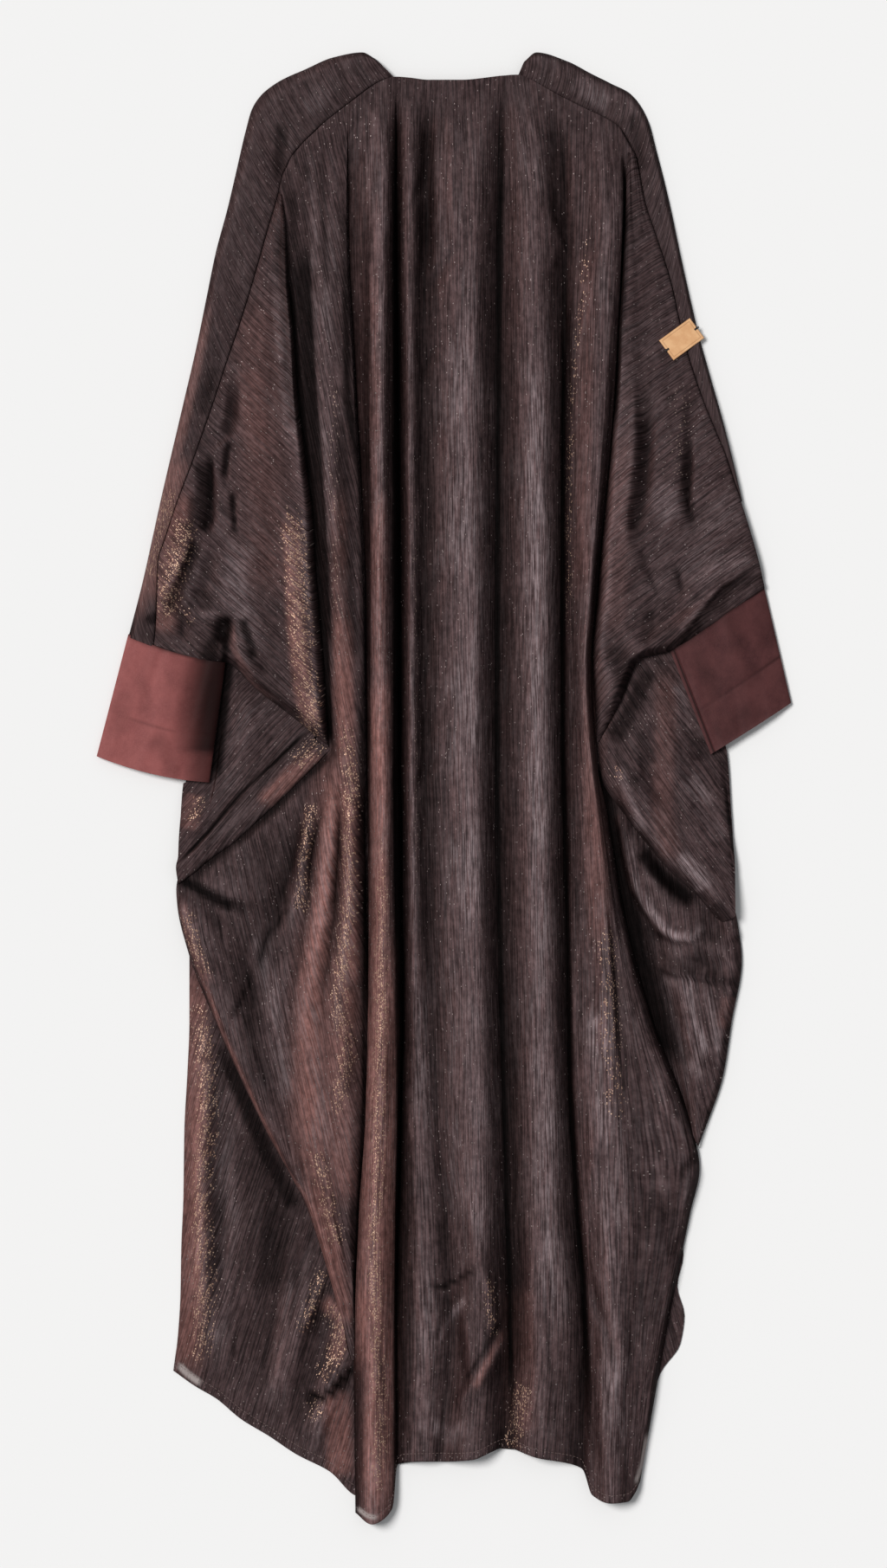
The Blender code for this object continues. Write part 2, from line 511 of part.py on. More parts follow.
def leather_label(carriers, collection, material):
    """A small plate that follows the cloth under it: its points are the cloth's, moved out."""
    trees = []
    for item in carriers:
        mesh = item.data
        trees.append(BVHTree.FromPolygons([v.co for v in mesh.vertices],
                                          [p.vertices for p in mesh.polygons]))
    tilt = math.radians(LABEL_TILT)
    rows = 5
    columns = 7
    places = np.zeros((rows, columns, 2))
    rest = np.zeros((rows, columns))
    for i in range(rows):
        for j in range(columns):
            u = (j / (columns - 1) - 0.5) * LABEL_LENGTH
            v = (i / (rows - 1) - 0.5) * LABEL_WIDTH
            x = LABEL_CENTRE[0] + u * math.cos(tilt) + v * math.sin(tilt)
            drop = LABEL_CENTRE[1] - u * math.sin(tilt) + v * math.cos(tilt)
            places[i, j] = (x, drop)
            start = Vector(to_world(x, drop, 60))
            hits = [tree.ray_cast(start, Vector((0, 0, -1)))[0] for tree in trees]
            rest[i, j] = max([hit.z / MM for hit in hits if hit] or [ON_FLOOR])
    rest = np.maximum(rest, rest.max() - 4.0)
    near = np.pad(rest, 1, mode="edge")
    rest = np.max([near[1 + a:1 + a + rows, 1 + b:1 + b + columns]
                   for a in (-1, 0, 1) for b in (-1, 0, 1)], axis=0)
    bottom = rest + LABEL_LIFT
    return close_wall("label", places, bottom + LABEL_THICKNESS, bottom, collection, material)


def build():
    clear_scene()
    collection = bpy.data.collections.new("cape_abaya")
    bpy.context.scene.collection.children.link(collection)
    cloth = make_material(*CLOTH)
    strip_cloth = make_material(*STRIP)
    satin = make_material(*CUFF)
    leather = make_material(*LEATHER)

    front_panel("front_left", FRONT_LEFT_DROPS, FRONT_LEFT_OUTER, FRONT_LEFT_OPENING,
                FRONT_LEFT_SHARES, FRONT_LEFT_TOP, FRONT_LEFT_HEM, collection, cloth,
                FRONT_LEFT_CREASES)
    front_panel("front_right", FRONT_RIGHT_DROPS, FRONT_RIGHT_OPENING, FRONT_RIGHT_OUTER,
                FRONT_RIGHT_SHARES, FRONT_RIGHT_TOP, FRONT_RIGHT_HEM, collection, cloth)
    folded_panel("back_centre", BACK_DROPS, BACK_FOLDS, BACK_TOP, BACK_HEM, RISE_BACK,
                 collection, cloth, along=2)
    folded_panel("back_drape_left", DRAPE_LEFT_DROPS, DRAPE_LEFT_FOLDS, DRAPE_LEFT_TOP, None,
                 RISE_DRAPE_LEFT, collection, cloth)
    folded_panel("back_drape_right", DRAPE_RIGHT_DROPS, DRAPE_RIGHT_FOLDS, None,
                 DRAPE_RIGHT_FOOT, (1,) * (len(DRAPE_RIGHT_DROPS) + 1), collection, cloth)
    cloth_wall("underarm_left", UNDERARM_LEFT, UNDERARM_LEFT_TOPS, UNDERARM_LEFT_UNDERS,
               collection, cloth, along=2)
    cloth_wall("underarm_right", UNDERARM_RIGHT, UNDERARM_RIGHT_TOPS, UNDERARM_RIGHT_UNDERS,
               collection, cloth, along=2, creases=UNDERARM_RIGHT_CREASES)

    left_rows = [(*seam[:2], *inner)
                 for seam, inner in zip(STRIP_LEFT[SLEEVE_LEFT_FIRST:], SLEEVE_LEFT_INNER)]
    under_foot = (ON_FRONT,) * 3 + (ON_TWO,) + (ON_THREE,) * 4
    sleeve("sleeve_left", left_rows, SLEEVE_LEFT_FOOT, under_foot, SLEEVE_LEFT_CREASES,
           collection, cloth)
    right_rows = [(*seam[:2], *inner)
                  for seam, inner in zip(STRIP_RIGHT[SLEEVE_RIGHT_FIRST:], SLEEVE_RIGHT_INNER)]
    right_rows += SLEEVE_RIGHT_BELOW_STRIP
    right = sleeve("sleeve_right", right_rows, SLEEVE_RIGHT_FOOT, under_foot,
                   SLEEVE_RIGHT_CREASES, collection, cloth)
    shoulder_strip("shoulder_strip_left", STRIP_LEFT, collection, strip_cloth)
    strip = shoulder_strip("shoulder_strip_right", STRIP_RIGHT, collection, strip_cloth)
    cuff("cuff_left", CUFF_LEFT_CORNERS, CUFF_LEFT_STEP, collection, satin)
    cuff("cuff_right", CUFF_RIGHT_CORNERS, CUFF_RIGHT_STEP, collection, satin)
    leather_label((right, strip), collection, leather)


build()
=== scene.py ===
"""Looks of the cape abaya: fine cloth shells, hems, stitches and materials over the CAD frame.

Each shell is a loft between the cross sections of its folds, as its solid is, with the finer
creases, rolled edges and crinkle of the cloth. Places are in millimetres: x from the centre of
the back, drop from the highest point of the shoulders. The cloth's UV map "grain" is in metres,
across and along its threads.
"""
import math
from collections import namedtuple

import bpy
import numpy as np
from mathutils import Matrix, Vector
from mathutils.bvhtree import BVHTree


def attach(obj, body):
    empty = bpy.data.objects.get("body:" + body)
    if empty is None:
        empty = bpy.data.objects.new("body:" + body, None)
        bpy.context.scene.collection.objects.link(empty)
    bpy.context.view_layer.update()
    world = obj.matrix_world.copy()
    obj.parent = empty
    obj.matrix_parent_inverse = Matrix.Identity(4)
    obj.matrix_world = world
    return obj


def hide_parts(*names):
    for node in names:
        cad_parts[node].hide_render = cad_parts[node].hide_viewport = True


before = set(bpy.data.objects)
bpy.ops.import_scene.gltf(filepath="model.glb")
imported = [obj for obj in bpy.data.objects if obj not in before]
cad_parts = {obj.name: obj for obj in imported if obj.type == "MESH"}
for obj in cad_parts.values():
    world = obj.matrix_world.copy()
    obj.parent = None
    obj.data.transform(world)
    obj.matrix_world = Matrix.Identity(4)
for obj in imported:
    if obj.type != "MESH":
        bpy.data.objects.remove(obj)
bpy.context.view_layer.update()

MM = 0.001
LENGTH = 1463.0           # shoulder to the lowest point of the hem
WALL = 1.6                # the solids' cloth
CLOTH_THICKNESS = 1.1     # the shells' cloth
SEAM_GAP = 0.35
LAYER = 2.1               # one more wall and a little air
ON_FLOOR = 0.0
ON_FRONT = LAYER
ON_TWO = 2 * LAYER
ON_THREE = 3 * LAYER
TUCKED = ON_FRONT + WALL  # top of a margin that runs under its neighbour
HEM = 9.0                 # width of the turned hem
HEM_ZONE = 13.0           # the finely divided margin that holds it
HEM_STEP = 1.3            # its rows are this far apart
YOKE_TOP = 7.6            # height of the flat cloth along the shoulder seams
SEAM_TURN = 4.5           # how far a sleeve's end runs into its cuff
TURN_SLANT = 0.24         # how far that end moves out for each millimetre down
DEPTH = 1.45              # the shells' folds against the sections below
CROWN = 27.4              # the rolls flatten above this height
CROWN_SPAN = 1.6
ABOVE_ALL = 60.0          # clear of every fold
CUFF_WALL = 1.8
CUFF_SLIT = 2.6
CUFF_HEM = 46.0           # the stitched line's distance from the wrist
WINDOW = (-0.55, 0.3, 1.0)
WHITE = (1, 1, 1)

Fold = namedtuple("Fold", "name top x under", defaults=(ON_FRONT,))
Edges = namedtuple("Edges", "top foot first last", defaults=(None,) * 4)
Sheet = namedtuple("Sheet", "flat area rests_on")
Wave = namedtuple("Wave", "height across down seed_step")
Cuff = namedtuple("Cuff", "sleeve_left sleeve_right wrist_left wrist_right bow flat_at raised_at ledge")

# Unevenness of slack cloth, in patches of the given size.
ROLLING = (Wave(0.8, 26, 90, 0), Wave(0.45, 9, 34, 50))
CRINKLE = (Wave(0.16, 3.4, 11, 90),)

# Seams of the shoulder strips: seam x, seam drop, outer edge x, outer edge drop.
STRIP_LEFT = (
    (-50, 25, -69, 6), (-64, 30, -81, 0), (-95, 52, -110, 5), (-118, 70, -138, 17),
    (-140, 91, -164, 29), (-151, 104, -182, 43), (-160, 123, -191, 57),
    (-164, 140, -197, 78), (-176, 181, -207, 121), (-185, 213, -215, 155),
    (-201, 266, -227, 200), (-215, 307, -236, 244), (-232, 358, -246, 293),
    (-250, 409, -259, 349), (-267, 454, -271, 400), (-276, 482, -281, 443),
    (-284, 508, -288, 475), (-285, 547, -300, 529), (-287, 587, -312.5, 577))
STRIP_RIGHT = (
    (74, 23, 80, 9), (86, 29, 92, 0), (117, 45, 123, 9), (139, 56, 146, 21),
    (158, 65, 166, 31), (174, 75, 185, 41), (191, 104, 203, 68), (195, 123, 211, 97),
    (200, 150, 219, 128), (210, 181, 226, 158), (224, 224, 235, 201), (234, 268, 245, 246),
    (242, 300, 252, 276), (257, 345, 266, 327), (270, 377, 276, 362), (279, 399, 283, 389),
    (288.5, 428, 290.8, 421), (295.2, 447, 296.6, 446))

# Inner edges of the sleeves, one point for each seam point from the first that they share, and
# their feet in the cuffs, with each foot point's share of the turn.
SLEEVE_LEFT_FIRST = 7
SLEEVE_LEFT_INNER = (
    (-160, 143), (-156, 185), (-154, 233), (-149, 282), (-146, 327), (-141, 375),
    (-135, 418), (-129, 465), (-127, 508), (-123, 555), (-118, 624))
SLEEVE_LEFT_FOOT = (
    (-287, 587), (-263, 596), (-239, 602), (-217, 604), (-186, 634), (-144, 666),
    (-124, 683), (-115, 691))
SLEEVE_RIGHT_FIRST = 6
SLEEVE_RIGHT_INNER = (
    (182, 100), (181, 125), (180, 155), (178, 190), (175, 233), (172, 280), (171, 319),
    (167, 366), (164, 405), (161, 435), (158, 469), (155, 499))
SLEEVE_RIGHT_BELOW_STRIP = ((309, 492, 151, 551), (315, 515, 147, 598))
SLEEVE_RIGHT_FOOT = (
    (318, 530), (301, 541), (280, 553), (258, 566), (227, 592), (194, 605), (175, 647),
    (152, 688))
SLEEVE_LEFT_TURN = (1, 1, 1, 0.7, 0, 0, 0, 0)
SLEEVE_RIGHT_TURN = (0.7, 1.0, 1.6, 2.0, 0.6, 0, 0, 0)

# Share of the width, height of the top face on open cloth and at the foot, and what the foot is on.
SLEEVE_PROFILE = (
    (0.00, 8.0, 7.8, ON_FRONT), (0.15, 9.5, 8.0, ON_FRONT), (0.32, 11.0, 8.4, ON_FRONT),
    (0.46, 12.0, 9.4, ON_TWO), (0.65, 12.5, 9.6, ON_THREE), (0.84, 14.5, 10.0, ON_THREE),
    (0.94, 15.5, 9.6, ON_THREE), (1.00, 7.0, 8.4, ON_THREE))

# Folds from left to right: the height of a fold's line, once or for each section, its x at each
# drop, and what it lies on. RISE is the share of the heights that each section keeps.
BACK_DROPS = (155, 327, 551, 605, 680, 710, 749, 860, 964, 1058, 1110, 1153, 1273)
BACK_TOP = (
    (-95, 52), (-64, 30), (-50, 25), (-46, 25), (-33, 26), (-16, 28), (19, 28), (57, 24),
    (74, 23), (117, 45), (139, 56), (158, 65), (174, 75), (182, 89), (191, 104))
BACK_HEM = (
    (-88, 1452), (-71, 1463), (-51, 1447), (-46, 1404), (-22, 1401), (-4, 1401), (28, 1399),
    (60, 1387.5), (92, 1397), (137, 1408), (147, 1434), (166, 1442), (182, 1441), (190, 1432),
    (195, 1421))
RISE_BACK = (0.45, 0.9) + (1,) * 12 + (0.85,)
RIGHT_EDGE_UNDER = (ON_FRONT,) * 6 + (ON_TWO,) * 5 + (3.2,) + (ON_FRONT,) * 3
BACK_FOLDS = (
    Fold("roll edge", 5.0, (-95, -88, -78, -78, -77, -77, -76, -75.5, -78, -80.5, -83, -85.5, -90)),
    Fold("roll", 17.5, (-62, -62, -64, -63, -62, -61, -60, -60, -62, -65, -66.5, -68, -70)),
    Fold("roll flank", 10.0, (-50, -51, -49, -49, -48, -48, -47, -46, -45, -46, -47.5, -49, -50)),
    Fold("deep groove", 4.0, (-48, -45, -43, -43, -43, -43, -42, -41, -40, -43, -44, -45, -47)),
    Fold("narrow ridge", 13.0, (-33, -34, -32, -32, -31, -31, -31, -29, -28, -25, -24, -23, -20)),
    Fold("valley", 8.5, (-21, -21, -20, -20, -19, -19, -18, -16, -11, -8, -3.5, 1, 5)),
    Fold("broad ridge", 18.0, (24, 24, 25, 26, 27, 27, 28, 31, 33, 34, 34.5, 35, 35)),
    Fold("sharp groove", 6.0, (53, 51, 51, 51, 51, 51, 51, 53, 56, 59, 60, 61, 65)),
    Fold("second ridge", 17.0, (88, 91, 94, 94, 95, 95, 96, 97, 99, 101, 101.5, 102, 101)),
    Fold("right groove", 6.0, (120, 119, 117, 117, 118, 118, 119, 120, 122, 125, 128, 131, 139)),
    Fold("small ridge", 12.0, (136, 129, 125, 125, 126, 126, 127, 129, 130, 134, 137.5, 141, 147)),
    Fold("right roll", 19.0, (161, 157, 144, 140, 143, 146, 151, 160, 166, 166, 166, 166, 167)),
    Fold("roll slope", (11, 15, 12, 9, 9, 10, 12, 16, 17, 17, 16, 15, 14, 15, 12),
         (176, 168.5, 148.5, 144, 147, 149.5, 154, 168, 180, 191, 196, 197, 191)),
    Fold("right tuck", (TUCKED,) * 6 + (8, 11, 14, 14, 13.5, 13, 10, 11, 9),
         (179.5, 172.5, 152, 147.5, 149.5, 151, 156, 173, 198, 228, 237, 234, 213), RIGHT_EDGE_UNDER),
    Fold("right edge", (TUCKED,) * 6 + (7, 8, 8, 8, 8, 8, 6, 6, 5),
         (187, 175, 155, 153, 151.2, 152.6, 161, 180, 208, 243, 254, 245, 221), RIGHT_EDGE_UNDER))

DRAPE_LEFT_DROPS = (155, 327, 450, 551, 692, 706, 749, 787, 817, 832, 848, 895, 964, 1058, 1153,
                    1239, 1300)
DRAPE_LEFT_TOP = (
    (-164, 140), (-162, 130), (-160, 123), (-155.5, 113.5), (-151, 104), (-145.5, 97.5),
    (-140, 91), (-129, 80.5), (-118, 70), (-95, 52))
RISE_DRAPE_LEFT = (0.5, 0.8) + (1,) * 14 + (0.8, 0.45)
DRAPE_LEFT_FOLDS = (
    Fold("left edge", (TUCKED,) * 11 + (5.5, 6, 6, 6, 6, 6, 4.5),
         (-161, -154, -143, -132, -119, -137, -187, -236, -263, -266, -265, -254, -227, -184, -135,
          -108, -93)),
    Fold("left lip", (TUCKED,) * 11 + (11, 12, 12, 12, 12, 11, 6),
         (-157, -144, -129.5, -122, -112, -123, -166, -214, -248, -256, -257, -244, -217, -175,
          -129, -104, -92.5)),
    Fold("swell", (5, 6, 7, 7, 7, 6, 5, 7, 7, 7, 9, 9.5, 10, 11, 11, 10, 9, 7),
         (-153, -140, -127, -119, -111, -121, -151, -191, -215, -222, -226, -224, -203, -167, -124,
          -101, -92)),
    Fold("valley", (5, 5, 5.5, 5.5, 5.5, 5, 5, 5.5, 6, 6, 6.5, 7, 8, 8, 9, 9, 8, 7),
         (-148, -136, -124, -117, -109.5, -117, -140, -147, -154, -159, -164, -180, -190, -159,
          -121, -99, -91.5)),
    Fold("glint ridge", (8, 8, 7, 7, 7, 6, 7, 10, 12, 13, 13, 13, 13, 12, 11, 10, 9, 7),
         (-143, -133, -121, -115, -108, -114, -129, -138, -142, -144, -147, -154, -164, -150, -118,
          -97, -91)),
    Fold("glint dip", (6, 6, 6, 6, 6, 5.5, 6, 8, 9, 9.5, 10, 10, 10, 10, 10, 9.5, 9, 7),
         (-138, -129, -119, -112, -106, -111, -120, -129, -133, -134, -136, -143, -152, -145, -116,
          -96, -90.5)),
    Fold("fan ridge", (9, 9, 9, 9, 10, 10, 12, 15, 16, 17, 17, 17, 17, 16, 14, 12, 9, 7),
         (-133, -124, -115, -109, -103.5, -107, -111, -114, -117, -118, -120, -128, -138, -138,
          -112, -94.5, -90)),
    Fold("fan valley", (9, 8, 8, 8, 8, 8, 8.5, 9, 10, 10, 10, 10, 10, 10, 10, 9, 8, 7),
         (-126, -117, -110, -104, -100, -102, -103, -104, -106, -107, -108, -114, -123, -120, -107,
          -92, -89.5)),
    Fold("fan roll", (13, 14, 15, 15.5, 16, 16, 16, 16, 16, 16, 16, 16, 16, 16, 15, 13, 10, 7),
         (-117, -107, -101, -96, -93, -94, -92, -93, -93, -93, -93, -98, -104, -98, -97, -90, -89)),
    Fold("fan foot", (7, 6) + (5,) * 13 + (5, 4.5, 4.5),
         (-97, -90, -84, -80, -79, -79, -78, -78, -77, -77, -77, -76, -76, -78, -85.5, -87.8,
          -88.4)))

DRAPE_RIGHT_DROPS = (714, 749, 787, 817, 843, 866, 903, 964, 1015)
DRAPE_RIGHT_FOOT = (
    (236, 1066), (245, 1072), (248, 1078), (250.5, 1084), (252, 1087), (252.6, 1089))
DRAPE_RIGHT_FOLDS = (
    Fold("hidden edge", TUCKED, (147, 154, 160, 166, 171, 174, 184, 201, 218)),
    Fold("tuck", TUCKED, (156, 162, 169.5, 176, 181.5, 187, 197, 213, 231)),
    Fold("hollow", (3.7, 3.8, 4, 4.5, 5, 5, 5.5, 6, 6.5, 6),
         (159, 168, 180, 191, 200, 206, 215, 226, 240)),
    Fold("swell", (3.7, 3.9, 6, 8, 9, 10, 11, 11, 10, 7),
         (162, 174, 190, 204, 218, 232, 239, 247, 253)),
    Fold("outer swell", (TUCKED,) * 6 + (10, 9.5, 9, 7),
         (165, 182, 207, 229, 258, 274, 283, 275, 268)),
    Fold("outer edge", (TUCKED,) * 6 + (5, 5, 5, 5),
         (167, 200, 240, 268, 286, 292, 296, 286, 278)))

# Underarm walls: one row of points across the fold for each section, from the hidden edge to the
# fold's own edge, which lies on the drape.
UNDERARM_LEFT_TOPS = (TUCKED, TUCKED, (5, 6) + (7.5,) * 6, (5.5, 7) + (8,) * 6, (5.8, 8.5) + (10,) * 6,
                      (5.8,) + (7.5,) * 7)
UNDERARM_LEFT_UNDERS = (ON_FRONT, ON_FRONT, ON_FRONT, ON_FRONT, ON_TWO, ON_TWO)
UNDERARM_LEFT = (
    ((-124, 676), (-126, 678), (-128, 680), (-129, 682), (-121, 689), (-114, 694)),
    ((-153, 650), (-151, 663), (-149, 677), (-148, 690), (-141, 707), (-134, 715)),
    ((-183, 622), (-180, 642), (-173, 675), (-167, 705), (-167, 730), (-160, 741)),
    ((-215, 590), (-208, 608), (-198, 665), (-187, 721), (-191, 751), (-183, 762)),
    ((-239, 611), (-215, 630), (-211, 690), (-207, 743), (-215, 772), (-209, 786)),
    ((-241, 663), (-222, 679), (-224, 722), (-227, 765), (-236, 787), (-232, 802)),
    ((-246, 719), (-232, 731), (-239, 762), (-247, 790), (-253, 803), (-250, 817)),
    ((-259, 727), (-260, 736), (-262, 768), (-264, 800), (-266, 811), (-264, 827)))
UNDERARM_RIGHT_TOPS = (TUCKED, TUCKED, (5, 7) + (8,) * 5, (5.8, 10) + (13,) * 5,
                       (5.8,) + (7.5,) * 6)
UNDERARM_RIGHT_UNDERS = (ON_FRONT, ON_FRONT, ON_FRONT, ON_TWO, ON_TWO)
UNDERARM_RIGHT = (
    ((156, 676), (155.5, 679), (155, 682), (154, 685), (152.5, 689)),
    ((191, 598), (190, 611), (182, 663), (164, 707), (157, 723)),
    ((220, 582), (218, 600), (210, 680), (184, 744), (177, 755)),
    ((245, 618), (232, 631), (236, 714), (210, 779), (203, 789)),
    ((263, 671), (251, 686), (258, 749), (237, 809), (229, 819)),
    ((280, 690), (275, 706), (277, 770), (258, 828), (252, 839)),
    ((286, 762), (287, 778), (289, 815), (289, 858), (274, 866)))

# The fronts lie flat under the back: x of both edges at each drop, and the shares of the width
# between them at which the sections have points.
FRONT_LEFT_DROPS = (61, 147, 241, 336, 430, 508, 575, 605, 680, 727, 792, 843, 895, 964, 1015, 1072,
                    1139, 1187, 1239, 1282)
FRONT_LEFT_OUTER = (-184, -209, -229, -250, -272, -289, -306, -215, -234, -257, -264, -265, -253,
                    -253, -255, -258, -259, -261, -262, -265)
FRONT_LEFT_OPENING = (-48, -40, -30, -19, -11, -7, -5) + (-4,) * 13
FRONT_LEFT_TOP = (
    (-183, 51), (-164, 36), (-144, 26), (-124, 18), (-110, 12), (-95, 7), (-83, 7), (-73, 12),
    (-70, 14), (-66, 19))
FRONT_LEFT_HEM = (
    (-269, 1311), (-248, 1326), (-226, 1339), (-202, 1359), (-174, 1376), (-147, 1394),
    (-114, 1411), (-84, 1436), (-52, 1396), (-4, 1393))
FRONT_LEFT_SHARES = (0, 0.09, 0.18, 0.28, 0.38, 0.48, 0.6, 0.74, 0.86, 1)
FRONT_RIGHT_DROPS = (61, 147, 241, 336, 430, 499, 528, 549, 566, 581, 592, 680, 733, 792, 861, 903,
                     938, 966, 1005, 1032, 1061, 1088, 1111, 1144, 1169, 1196, 1227, 1256, 1284,
                     1314)
FRONT_RIGHT_OUTER = (191, 214, 239, 263, 287, 305, 312, 293, 269, 246, 227, 263, 282, 286, 289, 294,
                     289, 282, 278, 270, 261, 250, 250, 245, 237, 238, 232, 239, 235, 215)
FRONT_RIGHT_OPENING = (60, 50, 38, 25, 14, 8, 6) + (4,) * 23
FRONT_RIGHT_TOP = ((86, 21), (92, 12), (110, 9), (129, 18), (147, 27), (166, 36), (185, 47))
FRONT_RIGHT_HEM = ((4, 1394), (41, 1388), (75, 1390), (110, 1399), (137, 1404), (161, 1430),
                   (189, 1423))
FRONT_RIGHT_SHARES = (0, 0.17, 0.34, 0.5, 0.66, 0.83, 1)

# Corners of the cuffs, the bow of their ends, the shares of the width between which they rise onto
# the cloth beside them, and the width of the lower layer that shows.
CUFF_LEFT = Cuff((-313.5, 578.5), (-217, 607), (-345, 700), (-233, 726), 4.8, 0.0, 0.62, 0)
CUFF_RIGHT = Cuff((225, 596), (318, 531), (265, 698), (345, 647), 0.6, 1.0, 0.58, 4.5)

LABEL_CENTRE = (236, 286)
LABEL_LENGTH = 38.5
LABEL_WIDTH = 24.5
LABEL_TILT = 36.5

# Direction of the threads, in degrees from level, down to the right.
GRAIN = {
    "front_left": 107, "front_right": 75, "back_centre": "with the folds", "back_drape_left": 77,
    "back_drape_right": 80, "underarm_left": 130, "underarm_right": 54, "sleeve_left": 41,
    "sleeve_right": 142, "shoulder_strip_left": "across", "shoulder_strip_right": "across"}

# Finer creases than the solids have: height, how far they reach (a pair is left and right), and
# the line that they follow, as x, drop, x, drop.
CREASES = {}
CREASES["back_centre"] = (
    (4, 18, -95, 52, -96, 78, -97, 108),
    (-2.6, 5, -16, 38, -16, 104, -16, 172, -18, 233),
    (1.4, 5, 6, 43, 8, 121, 11, 207),
    (-1.2, 4, 20, 33, 22, 121, 25, 233),
    (1.2, (4, 6), 86, 45, 91, 104, 94, 172),
    (-1.4, 4, 110, 54, 110, 112, 111, 181),
    (1.2, 4, 129, 61, 127, 112, 123, 172),
    (-1.3, (2.5, 5), -18, 117, -26, 140, -37, 161),
    (-1.5, (3, 6), 17, 190, 3, 211, -11, 228, -22, 247),
    (-1.1, (3, 5), -4, 283, -15, 306, -25, 331),
    (-1.1, (4, 6), 0, 521, -11, 528, -22, 538),
    (-1.2, (4, 7), 0, 688, -18, 714, -37, 749),
    (2.2, (13, 2.2), 103, 158, 118, 192, 105, 217),
    (3, (2.5, 8), 15, 1234, 1, 1254, -12, 1277),
    (3, (3, 9), 61, 1279, 41, 1305, 21, 1330, 10, 1349),
    (-2.2, (6, 3), 31, 1208, 15, 1219, 0, 1227, -14, 1229),
    (2, 4, 20, 1246, 25, 1290, 28, 1325),
    (2.2, (4, 5), 41, 1210, 46, 1239, 49, 1273),
    (1.8, (5, 4), 25, 1136, 31, 1170, 37, 1215),
    (1.2, (4, 5), -30, 1067, -25, 1153, -23, 1222, -16, 1290),
    (-1.4, (3, 4), -57, 981, -52, 1015, -55, 1058, -61, 1093),
    (-1.2, 4, -76, 1222, -62, 1290, -55, 1359),
    (-2.6, (2.2, 5), 161, 843, 167, 882, 172, 952, 176, 1015),
    (2.6, (5, 6), 155, 843, 158, 938, 167, 1024, 177, 1111, 182, 1155, 184, 1213),
    (1.8, 7, 154, 1020, 150, 1072, 144, 1120, 143, 1168, 153, 1237),
    (2, (9, 3), 200, 1043, 215, 1024, 224, 1051, 211, 1070),
    (2, (6, 4), 221, 1067, 217, 1118, 220, 1144),
    (1.8, 6, 214, 1149, 203, 1187, 194, 1225),
    (-2.2, (3, 5), 252, 1089, 242, 1106, 232, 1125),
    (1.8, (5, 4), 249, 1103, 241, 1130, 235, 1153),
    (-2, (3, 4), 239, 1170, 230, 1187, 223, 1206),
    (-2.4, (4, 5), 141, 1211, 162, 1272, 175, 1316),
    (2.2, 6, 161, 1153, 165, 1222, 175, 1282, 178, 1301, 160, 1345),
    (1.8, (7, 5), 151, 1290, 156, 1342, 161, 1411),
    (-1.6, 5, 185, 1239, 182, 1316, 177, 1394),
    (1.4, 6, 85, 1153, 88, 1239, 94, 1325, 103, 1394),
    (-1.3, 5, 110, 1187, 104, 1256, 110, 1342))
CREASES["back_drape_left"] = (
    (4, 18, -95, 52, -96, 78, -97, 108),
    (-2.4, (2.4, 5), -90, 430, -100, 485, -103, 523),
    (1.6, 4, -97, 315, -90, 385, -86, 430),
    (1.4, 4, -114, 329, -113, 403, -111, 459, -106, 534, -104, 590),
    (-1.2, (4, 5), -98, 71, -116, 102, -138, 133),
    (1.4, (5, 4), -125, 91, -121, 147, -116, 207),
    (-1.8, 4, -135, 111, -135, 147, -136, 185),
    (2, 5, -130, 749, -138, 792, -141, 852, -138, 903),
    (1.8, (5, 6), -95, 723, -93, 792, -93, 832, -98, 891, -104, 950),
    (-1, (2.5, 5), -89, 938, -102, 984, -116, 1027, -128, 1036),
    (2, 5, -95, 986, -99, 1024, -109, 1061, -116, 1093),
    (1.8, 5, -131, 1067, -124, 1101, -114, 1149, -104, 1187, -97, 1239),
    (-2.2, 7, -150, 881, -174, 921, -184, 955),
    (1.8, 6, -175, 860, -183, 903, -176, 964, -166, 1015),
    (-1.8, 6, -203, 869, -200, 912, -188, 964),
    (2, 6, -160, 895, -164, 938, -160, 981),
    (-3, (10, 8), -250, 833, -234, 852, -215, 882))
CREASES["front_left"] = (
    (5, 13, -238, 930, -240, 1100, -238, 1240, -226, 1300),
    (3, 14, -190, 1110, -204, 1230, -212, 1320),
    (6, 12, -128, 1190, -150, 1290, -168, 1350),
    (6, 9, -110, 1312, -118, 1350, -130, 1385),
    (2, (10, 9), -238, 964, -236, 1032, -240, 1136, -240, 1239, -245, 1301),
    (-1.6, (7, 8), -224, 1015, -215, 1093, -219, 1187, -226, 1265),
    (2.2, (9, 7), -210, 1058, -209, 1136, -215, 1222, -227, 1316),
    (1.6, (6, 7), -179, 1101, -183, 1179, -197, 1265),
    (-1.4, 8, -164, 1136, -172, 1213, -178, 1290),
    (2.4, (5, 6), -144, 1153, -154, 1213, -162, 1273, -171, 1342),
    (3.6, (4, 6), -117, 1206, -129, 1243, -143, 1273),
    (3.4, 5, -119, 1244, -107, 1249, -97, 1265, -104, 1290),
    (-3, (4, 6), -124, 1258, -119, 1278, -114, 1299),
    (4.6, (9, 3), -90, 1290, -102, 1311, -117, 1325, -138, 1328),
    (1.8, 7, -129, 1345, -140, 1376),
    (1.6, 9, -215, 1316, -200, 1335, -191, 1354),
    (1.6, 9, -157, 1349, -152, 1370, -147, 1388))
